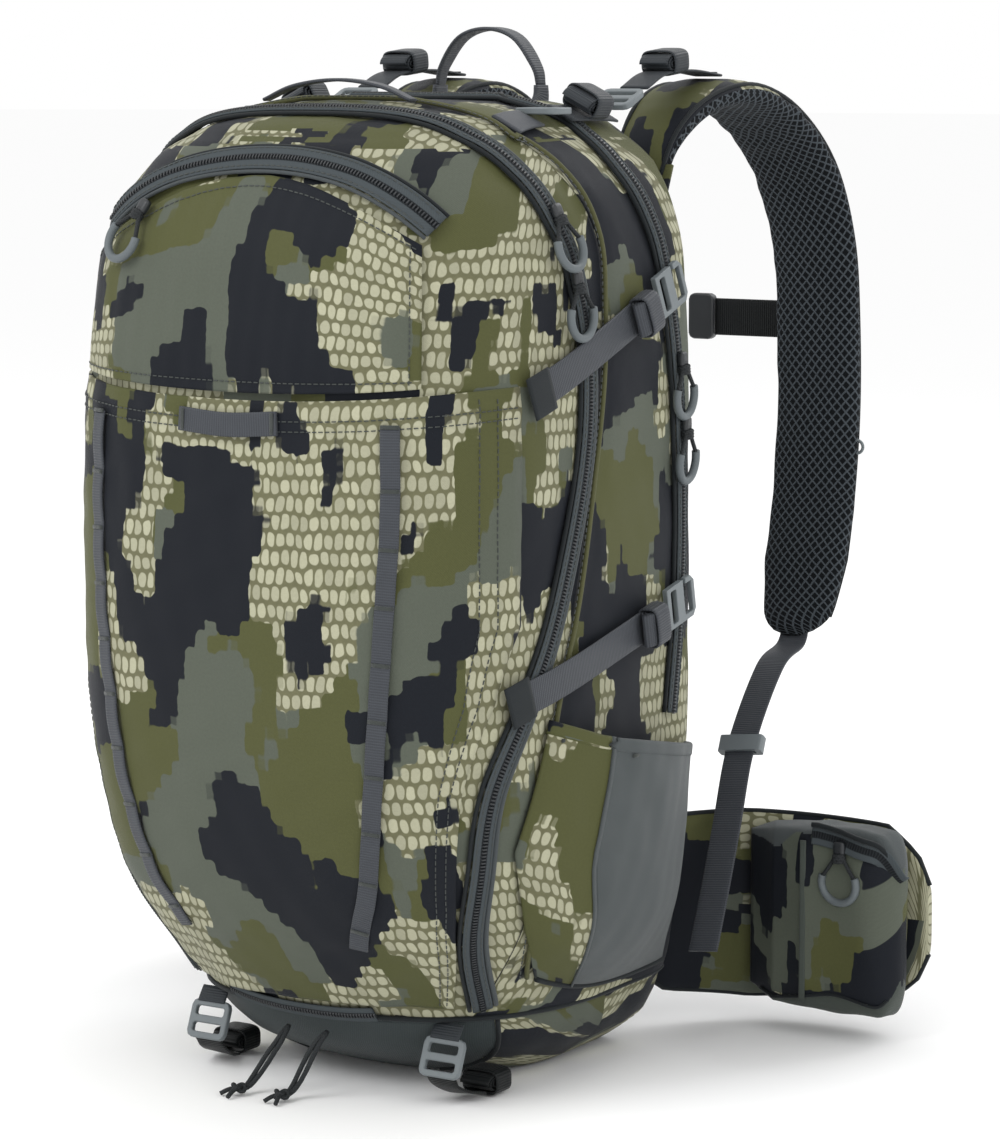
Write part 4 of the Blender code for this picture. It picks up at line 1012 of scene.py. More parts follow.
POCKET_SPLIT = 0.25
for tag, side in SIDES:
    out = (side, 0, 0)
    front = pocket_wall(side, 0.0, POCKET_SPLIT, 40)
    rear = pocket_wall(side, POCKET_SPLIT + 0.002, 1.0, 70)
    surface("pocket_front_" + tag, front, CAMO["side"], "bag", ["side_pocket_" + tag],
            wall=0.0022, outward=out)
    surface("pocket_stretch_" + tag, rear, STRETCH, "bag", wall=0.0020, outward=out)
    rim = np.concatenate([front[-1, ::3], rear[-1, ::3]])
    rim_line = evenly(rim, 60) + (side * -0.0010, 0, 0)
    rim_split = 14
    carried("pocket_rim_" + tag, rim_line[rim_split:], out, flat_profile(0.0085, 0.0034), STRETCH, "bag")
    carried("pocket_hem_" + tag, rim_line[:rim_split + 1], out, flat_profile(0.0085, 0.0032), CAMO["side"], "bag")
    join = (front[:, -1] + rear[:, 0]) / 2 + (side * 0.0003, 0, 0)
    carried("pocket_seam_" + tag, join[::2], out, flat_profile(0.0036, 0.0016), STRETCH, "bag")
    foot = np.concatenate([front[0, ::3], rear[0, ::3]])
    bound("pocket_foot_" + tag, evenly(foot, 50), out, 0.0018)
    for number, place in enumerate((front[-3, 6], rear[-3, 8])):
        run = np.array([place + (side * 0.0012, 0, 0), place + (side * 0.0012, 0.016, -0.0015)])
        carried("pocket_tack_%s_%d" % (tag, number), evenly(run, 5), out, flat_profile(0.0022, 0.0010), THREAD,
                "bag")
print("bottle pockets ready")

# %% [markdown]
# ## Zips and piping
# A zip is a woven tape with a nylon coil along its middle. The tape is a thin strip carried along the
# seam's route. The coil is a row of small bars across it, all of them one mesh, because bars keep their
# shadows from close by, where a bump would look flat.


# %% Zips
TOOTH_PITCH, TOOTH_HALF, TOOTH_TALL = 0.0021, 0.00062, 0.0009


def zip_on(name, route, width, lift, nodes, bead=0.0017):
    """A tape and the coil on its middle, both along one route on the bag."""
    sewn_on(name + "_tape", route, flat_profile(width, 0.0016), lift, TAPE, nodes, 0.004)
    teeth(name + "_coil", route, lift + 0.0009, bead)


def teeth(name, route, lift, half):
    """The coil: a row of small bars across the zip, narrower at their tops, as one mesh."""
    middle, normal = on_bag(smooth_path(route, TOOTH_PITCH), lift)
    return bars(name, middle, unit(np.gradient(middle, axis=0)), normal, (TOOTH_HALF, half, TOOTH_TALL), 0, 0.72,
                run_length(middle), DARK_PLASTIC, "bag")


def offset_route(route, distance, lift, step=0.006):
    """A line beside a route on the bag, at a distance to its side."""
    middle, normal = on_bag(smooth_path(route, step))
    side = unit(np.cross(normal, unit(np.gradient(middle, axis=0))))
    return on_bag(middle + distance * side, lift)


def piping(name, route, distance, lift, radius, material):
    """Piping beside a route on the bag."""
    middle, normal = offset_route(route, distance, lift)
    return bound(name, middle, normal, radius, material=material)


TOP_ARCH = [(x, -0.12, top_zip_height(x)) for x in np.linspace(-0.112, 0.112, 13)]
ZIP_WIDTH, ZIP_LIFT = 0.0125, 0.0036
zip_on("top_pocket_zip_run", TOP_ARCH, 0.0165, 0.0034, ["top_pocket_zip"])
zip_on("front_zip_run", FRONT_ZIP, ZIP_WIDTH, ZIP_LIFT, ["front_zip"])
zip_on("main_zip_run", MAIN_ZIP, ZIP_WIDTH, ZIP_LIFT, ["main_zip"])
piping("front_zip_piping", FRONT_ZIP, -0.0080, 0.0022, 0.0019, PIPING)
piping("front_zip_welt", FRONT_ZIP, 0.0075, 0.0020, 0.0014, DARK_PIPING)
piping("mid_seam_piping", MID_SEAM, 0.0, 0.0022, 0.0016, OLIVE_PIPING)
piping("main_zip_welt", MAIN_ZIP, 0.0076, 0.0020, 0.0014, DARK_PIPING)
piping("main_zip_piping", MAIN_ZIP, -0.0076, 0.0020, 0.0014, DARK_PIPING)
piping("top_pocket_welt", TOP_ARCH, -0.0095, 0.0032, 0.0012, PIPING)
piping("top_pocket_lip", TOP_ARCH, 0.0095, 0.0024, 0.0013, DARK_PIPING)
BASE_ZIP = [(x, -0.10, 0.0445) for x in np.linspace(-0.062, 0.050, 9)]
zip_on("base_zip_run", BASE_ZIP, 0.0120, 0.0016, ())
print("zips and piping sewn in")

# %% [markdown]
# ## Straps on the bag
# Every strap is webbing of a true width and thickness, carried along its route and sewn down with a bar tack,
# a short dense row of thread. The two ladder straps on the front panel are tacked every few centimetres,
# and stand off a little between the tacks.


# %% Daisy chains, handle and tacks
def tack(name, centre, along, normal, length, body="bag", width=0.0024):
    """A bar tack: a short raised band of thread across a strap."""
    along = unit(np.asarray(along, float))
    run = np.asarray(centre, float) + np.linspace(-0.5, 0.5, 4)[:, None] * length * along
    return carried(name, run, normal, flat_profile(width, 0.0009), THREAD, body)


PANEL_PROUD = 0.0058
for tag, side in SIDES:
    route = [(side * x, -0.16, z) for x, z in zip(CHAIN_X, CHAIN_Z)]
    middle, normal = on_bag(smooth_path(route, 0.003))
    along = run_length(middle)
    loop = 0.033
    phase = np.abs(np.sin(math.pi * along / loop))
    middle = middle + (PANEL_PROUD - 0.0006 + 0.0012 * phase)[:, None] * normal
    carried("ladder_strap_" + tag, middle, normal, flat_profile(0.0115, 0.0015), GREY_WEB, "bag")
    for number, place in enumerate(np.arange(0, along[-1], loop)):
        k = int(np.searchsorted(along, place))
        across = np.cross(normal[k], unit(middle[min(k + 1, len(middle) - 1)] - middle[max(k - 1, 0)]))
        tack("ladder_tack_%s_%d" % (tag, number), middle[k] + 0.0010 * normal[k], across, normal[k], 0.0108)

handle = [(-0.034, -0.16, PANEL_HIGH - 0.012), (0.0, -0.16, PANEL_HIGH - 0.014),
          (0.034, -0.16, PANEL_HIGH - 0.012)]
middle, normal = on_bag(smooth_path(handle, 0.003), PANEL_PROUD + 0.0008)
bow = np.sin(np.linspace(0, math.pi, len(middle)))[:, None]
middle = middle + 0.0016 * bow * normal
carried("front_grab_handle", middle, normal, flat_profile(0.0140, 0.0017), GREY_WEB, "bag",
        ["front_handle"])
for number, k in enumerate((1, -2)):
    tack("handle_tack_%d" % number, middle[k] + 0.0012 * normal[k], (0, 0, 1), normal[k], 0.0125)

# %% [markdown]
# ### Side straps
# Two straps cross each side from a sewn anchor to a hook. The spare end of each is rolled up in a band. The roll
# is carried across a spiral, so its layers show at its ends as they do on the real one.


# %% Side straps, their keepers and sewn anchors
def side_line(side, start, end, count=9):
    """A straight run over the bag's side between two (y, z) places."""
    t = np.linspace(0, 1, count)[:, None]
    yz = np.array(start) + t * (np.array(end) - np.array(start))
    return np.concatenate([np.full((count, 1), side * PACK_WIDTH / 2), yz], axis=1)


def folded_keeper(name, place, normal, along, width, body, material=GREY_WEB, size=1.0):
    """The strap's spare end: webbing rolled two and a half turns and held by a band. The roll is a flattened
    spiral, |cos|^0.62 along the strap and sin up, which grows as it turns; the band is a squared ring."""
    turn = np.linspace(0, 5 * math.pi, 110)
    grown = size * (0.38 + 0.62 * turn / turn[-1])
    bent = signed_power(np.cos(turn), 0.62)
    spiral = np.stack([0.0128 * grown * bent, 0.0052 * grown * np.sin(turn)], axis=1)
    across = np.cross(normal, along)
    path = place + spiral[:, :1] * along + spiral[:, 1:] * normal
    roll = carried(name, path, np.cross(across, unit(np.gradient(path, axis=0))), flat_profile(width, 0.0013),
                   material, body)
    ring = np.linspace(0, 2 * math.pi, 49)
    squared = [signed_power(wave(ring), 0.5) for wave in (np.cos, np.sin)]
    hub = place + 0.0015 * along
    loop = evenly(hub + (width / 2 + 0.0018) * squared[0][:, None] * across
                  + (0.0052 * size + 0.0019) * squared[1][:, None] * normal, 56)
    carried(name + "_band", loop, loop - hub, flat_profile(0.0165 * size, 0.0013), material, body,
            closed=False)
    return roll


STRAP_ROWS = (("upper", (-0.080, 0.424), (0.048, 0.4685)), ("lower", (-0.098, 0.249), (0.054, 0.2825)))
for tag, side in SIDES:
    for level, start, end in STRAP_ROWS:
        name = "%s_%s" % (level, tag)
        middle, normal = on_bag(smooth_path(side_line(side, start, end), 0.004), 0.0062)
        carried("compression_strap_" + name, middle, normal, STRAP_PROFILE, GREY_WEB, "bag",
                ["side_strap_" + name])
        along = unit(middle[-1] - middle[-2])
        hold = middle[-5]
        folded_keeper("strap_fold_" + name, hold + 0.0052 * normal[-5], normal[-5], along, 0.020, "bag", size=0.9)
        root, out = middle[0], normal[0]
        patch = on_bag(side_line(side, (start[0] - 0.004, start[1] - 0.002), (start[0] + 0.014, start[1] + 0.004)),
                       0.0074)
        carried("strap_anchor_" + name, patch[0], patch[1], flat_profile(0.0255, 0.0016), LINING, "bag")
        tack("strap_tack_" + name, root + 0.0024 * out + along * 0.0135, np.cross(out, along), out, 0.0195)
print("side straps and keepers ready")

# %% [markdown]
# ## Stitching
# A row of stitches is what tells the eye that a panel is sewn. Each stitch is a tiny raised bar of six
# faces, and all stitches of a run are one mesh.


# %% Stitch rows
THREAD_HALF, THREAD_TALL = 0.00030, 0.00028


def stitches(name, path, normal, body="bag", length=0.0026, pitch=0.0040, material=THREAD):
    """Small bars laid end to end along a path: each spans its length, and leaves a short gap."""
    path = np.asarray(path, float)
    total = run_length(path)
    at = np.arange(pitch, total[-1] - pitch, pitch)
    centre = np.stack([np.interp(at, total, path[:, k]) for k in range(3)], axis=1)
    tangent = np.gradient(path, axis=0)
    tangent = unit(np.stack([np.interp(at, total, tangent[:, k]) for k in range(3)], axis=1))
    normal = np.broadcast_to(np.asarray(normal, float), path.shape)
    up = unit(np.stack([np.interp(at, total, normal[:, k]) for k in range(3)], axis=1))
    return bars(name, centre, tangent, up, (length / 2, THREAD_HALF, THREAD_TALL), -1, 1.0, at, material, body)


def grid_stitches(name, grid, row=None, column=None, proud=0.0002):
    """Stitches along one row or column of a grid that was sewn on, standing a little proud of it."""
    line = grid[row] if row is not None else grid[:, column]
    across = np.gradient(grid, axis=0), np.gradient(grid, axis=1)
    normals = np.cross(across[0], across[1])
    normal = unit(normals[row] if row is not None else normals[:, column])
    outward = normal * np.sign((normal * (line - (0, 0.02, line[:, 2].mean()))).sum(axis=1).mean())
    return stitches(name, line + proud * outward, outward)


for number, row in enumerate((-7, -10)):
    grid_stitches("hem_stitch_%d" % number, panel, row=row)
for number, column in enumerate((3, -4, 6, -7)):
    grid_stitches("panel_stitch_%d" % number, panel, column=column)
for number, row in enumerate((-5, 4)):
    grid_stitches("top_pocket_stitch_%d" % number, pocket, row=row)
grid_stitches("top_pocket_side_stitch", pocket, column=-4)
ZIP_ROWS = (-0.0046, 0.0046)
for name, route, sides in (("front_zip", FRONT_ZIP, ZIP_ROWS), ("main_zip", MAIN_ZIP, ZIP_ROWS),
                           ("top_zip", TOP_ARCH, (-0.0062, 0.0062)), ("mid_seam", MID_SEAM, (0.0050,))):
    for number, distance in enumerate(sides):
        line, normal = offset_route(route, distance, 0.0046 if "zip" in name else 0.0034, 0.004)
        stitches("%s_stitch_%d" % (name, number), line, normal)
print("stitches sewn")

# %% [markdown]
# ## Moulded hardware
# Hooks, ladder locks and buckles are injection moulded, so their outlines are exact and their edges soft.
# The measured shapes are right already. A copy of each has its doubles merged and its flat faces joined,
# and a Bevel rounds the edges, which is what catches the light on the real ones.


# %% Rounded copies of the hardware
def moulded(node, edge, material=GREY_PLASTIC):
    """A copy of a measured node with doubles merged, flat faces joined and every sharp edge rounded."""
    mesh = frame["nodes"][node].data.copy()
    mesh.name = node + "_moulded"
    shape = bmesh.new()
    shape.from_mesh(mesh)
    bmesh.ops.remove_doubles(shape, verts=shape.verts, dist=2e-5)
    bmesh.ops.dissolve_limit(shape, angle_limit=math.radians(2), verts=shape.verts, edges=shape.edges)
    shape.to_mesh(mesh)
    shape.free()
    mesh.materials.clear()
    mesh.materials.append(material)
    piece = bpy.data.objects.new(mesh.name, mesh)
    bpy.context.scene.collection.objects.link(piece)
    bevel = piece.modifiers.new("round", "BEVEL")
    bevel.width, bevel.segments, bevel.limit_method = edge, 2, "ANGLE"
    bevel.angle_limit = math.radians(32)
    bevel.harden_normals = False
    mesh.polygons.foreach_set("use_smooth", [True] * len(mesh.polygons))
    mesh.set_sharp_from_angle(angle=math.radians(50))
    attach(piece, BODY_OF[node])
    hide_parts(node)
    return piece


for tag in "RL":
    for node in ("side_hook_upper_", "side_hook_lower_", "lifter_lock_", "top_hook_", "lash_buckle_"):
        moulded(node + tag, 0.0009)
    moulded("strap_slider_" + tag, 0.0006)
moulded("belt_buckle_plug", 0.0012)
moulded("belt_buckle_socket", 0.0014)
moulded("sternum_plug", 0.0009, DARK_PLASTIC)
moulded("sternum_socket", 0.0012, DARK_PLASTIC)
frame["nodes"]["frame_sheet"].data.materials[0] = SHEET_PLASTIC
frame["nodes"]["frame_stay"].data.materials[0] = ALUMINIUM
print("hardware moulded")

# %% [markdown]
# ## Zip pulls
# A gloved hand needs a ring. A black cord loops through the slider, and a curved rubber sleeve holds the
# lower part of the loop open. Loop and sleeve are one round profile carried along an arc.


# %% Zip pulls
SLEEVE_RADIUS, SLEEVE_THICK, RING_CENTRE = 0.0124, 0.0025, 0.0262


def ring_pull(name, origin, down, out, body, nodes=(), size=1.0):
    """Slider, cord loop and rubber sleeve in the plane of down and out x down, hung from the origin."""
    origin, out = np.asarray(origin, float), unit(np.asarray(out, float))
    down = unit(np.asarray(down, float) - (np.asarray(down, float) * out).sum() * out)
    side = np.cross(out, down)
    turn = np.linspace(-1.95, 1.95, 40)
    arc = size * np.stack([RING_CENTRE + SLEEVE_RADIUS * np.cos(turn), SLEEVE_RADIUS * np.sin(turn)], axis=1)
    bow = 0.0011 * np.cos(turn)[:, None] * out
    path = origin + arc[:, :1] * down + arc[:, 1:] * side - bow
    thick = size * SLEEVE_THICK
    sleeve = carried(name + "_sleeve", path, out, round_profile(thick, 12), RUBBER, body, nodes)
    neck = [(0.0050, -0.0006), (0.0105, -0.0034), (0.0160, -0.0070), (RING_CENTRE - 0.0046, -0.0110)]
    ends = [(RING_CENTRE + SLEEVE_RADIUS * math.cos(t), SLEEVE_RADIUS * math.sin(t)) for t in (-1.9, 1.9)]
    loop = neck + [ends[0], ends[1]] + [(a, -b) for a, b in reversed(neck)]
    for number, part in enumerate((loop[:5], loop[5:])):
        flat = smooth_path([(size * a, size * b, 0) for a, b in part], 0.0012)
        line = origin + flat[:, :1] * down + flat[:, 1:2] * side + 0.0004 * out
        carried("%s_cord_%d" % (name, number), line, out, round_profile(0.0013, 8), CORD, body)
    wrap = np.linspace(0, 2 * math.pi * 2.6, 60)
    coil = (origin + (0.0080 + 0.0044 * wrap / wrap[-1])[:, None] * down * size
            + 0.0034 * np.cos(wrap)[:, None] * side + 0.0026 * np.sin(wrap)[:, None] * out)
    carried(name + "_whipping", coil, down, round_profile(0.0013, 8), CORD, body)
    levels = np.array([(-0.0024, 0.86), (-0.0020, 1.0), (0.0006, 1.0), (0.0014, 0.84), (0.0016, 0.5)])
    angle = np.linspace(0, 2 * math.pi, 24, endpoint=False)
    ring = np.stack([signed_power(np.cos(angle), 0.5) * 0.0046 + 0.0040,
                     signed_power(np.sin(angle), 0.5) * 0.0040], axis=1)
    body_rings = np.array([origin + (0.0040 + (ring[:, :1] - 0.0040) * s) * down + ring[:, 1:] * s * side + h * out
                           for h, s in levels])
    surface(name + "_slider", body_rings, DARK_PLASTIC, body, around=True, closed=True)
    return sleeve


PULLS = (("top_zip_pull", (-0.074, -0.136, 0.530), (-0.35, 0, -1)),
         ("front_zip_pull_upper", (0.138, -0.043, 0.529), (0, 0.10, -1)),
         ("front_zip_pull_lower", (0.145, -0.034, 0.4915), (0, 0.02, -1)),
         ("main_zip_pull_upper", (0.148, 0.083, 0.438), (0, 0.06, -1)),
         ("main_zip_pull_lower", (0.149, 0.088, 0.3990), (0, 0.02, -1)))
for node, spot, hang in PULLS:
    seat_point, seat_normal = on_bag([spot], 0.0076)
    ring_pull(node + "_ring", seat_point[0], hang, seat_normal[0], BODY_OF[node], nodes=[node])
print("zip pulls hung:", len(PULLS))

# %% [markdown]
# ## Shoulder straps
# Each strap is a foam strip that keeps the curve of a shoulder. Its inner face and edges are spacer mesh and
# its outer face is printed cloth. The section is a superellipse carried along the strap's line; it narrows to
# a rounded tip, and the inner face crumples a little where the line bends most.
# %% Shoulder straps
PAD_ROUTE = [(0.094, 0.137, 0.530), (0.094, 0.153, 0.563), (0.094, 0.190, 0.585), (0.096, 0.235, 0.589),
             (0.099, 0.285, 0.573), (0.104, 0.325, 0.540), (0.108, 0.345, 0.493), (0.110, 0.350, 0.440),
             (0.113, 0.346, 0.380), (0.116, 0.333, 0.320), (0.121, 0.309, 0.265), (0.124, 0.291, 0.238)]
STRAP_BEND, STRAP_FOOT = (0.127, 0.232, 0.215), (0.150, 0.125, 0.062)
PAD_WIDTH, PAD_THICKNESS = 0.062, 0.0175
PAD_COLUMNS = 56
RING_SHARE, RING_RADIUS = 0.76, 0.0042


def mirrored(points, side):
    """The points as they are for side 1, and with x turned over for side -1."""
    return [(side * x, y, z) for x, y, z in points]


def superellipse(centre, across, up, half_across, half_up, roundness, count):
    """A closed outline, |a|^n + |b|^n = 1, in the plane of across and up."""
    angle = np.linspace(0, 2 * math.pi, count, endpoint=False)
    a, b = signed_power(np.cos(angle), 2 / roundness), signed_power(np.sin(angle), 2 / roundness)
    return centre + (a * half_across)[:, None] * across + (b * half_up)[:, None] * up


def pad_frames(side):
    """The pad's line and, at each of its points, the directions along, across and towards the wearer."""
    line = smooth_path(mirrored(PAD_ROUTE, side), 0.0040)
    share = np.linspace(0, 1, len(line))
    line = line + (0.0030 * np.exp(-((share - 0.30) / 0.15) ** 2))[:, None] * np.array([0.0, 0.0, 1.0])
    tangent = unit(np.gradient(line, axis=0))
    across = unit(np.array([1.0, 0, 0]) - tangent[:, :1] * tangent)
    return line, tangent, across, np.cross(tangent, across)


for tag, side in SIDES:
    body = "harness_" + tag
    line, tangent, across, inner = pad_frames(side)
    share = np.linspace(0, 1, len(line))
    tip = np.sqrt(np.clip(1 - np.clip((share - 0.965) / 0.036, 0, 1) ** 2, 0.02, 1))
    half = PAD_WIDTH / 2 * np.interp(share, [0, 0.08, 0.2, 0.9, 1], [0.50, 0.70, 1, 0.95, 0.72]) * tip
    thick = PAD_THICKNESS / 2 * np.interp(share, [0, 0.1, 0.9, 1], [0.6, 1.05, 1.0, 0.7]) * tip
    rings = np.array([superellipse(p, a, o, h, t, 2.5, PAD_COLUMNS)
                      for p, a, o, h, t in zip(line, across, inner, half, thick)])
    flat = rings.reshape(-1, 3)
    out_from = unit(flat - np.repeat(line, PAD_COLUMNS, axis=0))
    bend = np.repeat(np.exp(-((share - 0.42) / 0.20) ** 2), PAD_COLUMNS)
    relief = 0.0007 * swells(flat, 61, 0.030) + 0.0010 * bend * swells(flat * (0.5, 1.6, 1.6), 62, 0.020)
    rings = (flat + relief[:, None] * out_from).reshape(rings.shape)
    pad = surface("strap_pad_" + tag, rings, PAD_MESH, body, ["shoulder_pad_" + tag],
                  around=True, closed=True)
    table_line, table_inner = line, inner

    def outer_face(centres, normals):
        """Faces that look away from the wearer, judged at the nearest fourth point of the pad's line."""
        nearest = np.argmin(((centres[:, None] - table_line[None, ::4]) ** 2).sum(axis=2), axis=1) * 4
        return (normals * table_inner[nearest]).sum(axis=1) < -0.45

    two_cloths(pad, CAMO["harness"], outer_face)
    for number, sense in enumerate((-1, 1)):
        seam = line + (sense * half * 0.90)[:, None] * across - (thick * 0.62)[:, None] * inner
        bound("strap_binding_%s_%d" % (tag, number), seam[2:-3:2], -inner[2:-3:2], 0.0014, body)
    foot, bend_at = (np.array(p) for p in mirrored([STRAP_FOOT, STRAP_BEND], side))
    toward = unit(foot - bend_at)
    start = line[-1] - tangent[-1] * 0.012
    slider = bend_at + toward * 0.045
    between = (line[-1] + slider) / 2 + np.array([side * 0.0008, 0.0010, 0.0150])
    route = smooth_path([start, line[-1] + tangent[-1] * 0.006, between, slider, slider + toward * 0.06, foot],
                        0.004)
    tangent_here = unit(np.gradient(route, axis=0))
    flat_side = unit(np.array([1.0, 0, 0]) - tangent_here[:, :1] * tangent_here)
    facing = np.cross(flat_side, tangent_here)
    sag = 0.0006 * np.sin(np.linspace(0, 3 * math.pi, len(route)))[:, None] * facing
    carried("adjuster_strap_" + tag, route + sag, facing, STRAP_PROFILE, GREY_WEB, body,
            ["adjuster_webbing_" + tag])
    tack("adjuster_tack_" + tag, route[-3] + 0.0012 * facing[-3], flat_side[-3], facing[-3], 0.019, body)
    ring = np.linspace(0, 2 * math.pi, 22)
    k = int(RING_SHARE * len(line))
    hold = line[k] + side * half[k] * across[k]
    sideways, upward = np.array([side, 0, 0]), np.array([0, 0, 1])
    loop = hold + RING_RADIUS * (np.cos(ring)[:, None] * sideways + np.sin(ring)[:, None] * upward)
    carried("strap_ring_" + tag, loop, (0, 1, 0), round_profile(0.0011, 8), GREY_PLASTIC, body,
            closed=False)
    lifter = smooth_path(mirrored([(0.097, 0.1262, 0.5954), (0.097, 0.150, 0.604), (0.096, 0.185, 0.606),
                                   (0.096, 0.222, 0.603)], side), 0.003)
    carried("lifter_strap_" + tag, lifter, (0, 0, 1), STRAP_PROFILE, DARK_WEB, body,
            ["load_lifter_" + tag])
    folded_keeper("lifter_fold_" + tag, np.array((side * 0.0965, 0.1640, 0.6112)), np.array((0.0, -0.10, 0.995)),
                  np.array((0.0, 0.995, 0.10)), 0.0200, body, material=DARK_WEB, size=1.05)
    tack("lifter_tack_" + tag, lifter[-3] + (0, 0, 0.0012), (1, 0, 0), (0, 0, 1), 0.018, body)
    reach = np.linspace(-0.022, 0.022, 12)
    drop = smooth_path([(0, 0.1212, 0.494), (0, 0.1230, 0.508), (0, 0.1278, 0.521), (0, 0.1335, 0.533),
                        (0, 0.1405, 0.549)], 0.004)
    strip = drop[:, None] + np.array([1.0, 0, 0]) * (side * 0.094 + reach)[None, :, None]
    root = surface("strap_root_" + tag, strip, CAMO["harness"], None, wall=0.0022,
                   outward=(0, -1, 1))
    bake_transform(root)
print("shoulder straps padded")

# %% [markdown]
# ### Sternum strap
# Two short straps meet between the pads. Each runs through its buckle and comes back, so it is two layers there.


# %% Sternum strap
for tag, side in SIDES:
    body = "sternum_" + tag
    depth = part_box("sternum_webbing_" + tag)[1].y - 0.001
    stern = smooth_path(mirrored([(0.118, depth, 0.440), (0.075, depth + 0.0006, 0.440), (0.026, depth, 0.440)],
                                 side), 0.004)
    carried("sternum_strap_" + tag, stern, (0, 1, 0), flat_profile(WIDE_STRAP, WEB_THICKNESS), BLACK_WEB, body,
            ["sternum_webbing_" + tag])
    loop_back = stern[:9] + np.array([0, 0.0022, 0])
    carried("sternum_return_" + tag, loop_back, (0, 1, 0), flat_profile(0.0246, 0.0015), BLACK_WEB, body)
print("sternum strap ready")

# %% [markdown]
# ## Hip belt
# The belt's wings are flat foam, faced with mesh on the wearer's side. Each carries a boxy pocket with a grey
# lid, a curved zip, and its own ring pull. The box is lofted along the wing's line as superellipses.
# %% Wings
WING_THICKNESS, POCKET_DEPTH = 0.0120, 0.040
HINGE = (0.0855, 0.1472, 0.085)
UP = np.array([0.0, 0.0, 1.0])


def wing_line(side, step=0.004):
    """The wing's line in plan, bent forward from the hinge, and its outward direction."""
    x, y, _ = HINGE
    plan = [(x, y, 0), (x + 0.0195, y + 0.031, 0), (x + 0.0445, y + 0.058, 0), (x + 0.0795, y + 0.075, 0),
            (x + 0.1220, y + 0.082, 0), (x + 0.1720, y + 0.077, 0)]
    line = smooth_path(mirrored(plan, side), step)
    return line, unit(np.cross(unit(np.gradient(line, axis=0)), UP)) * side


def along_line(values, share, places):
    """Rows of a table read between its lines, at given shares of the way."""
    return np.stack([np.interp(places, share, values[:, k]) for k in range(3)], axis=1)


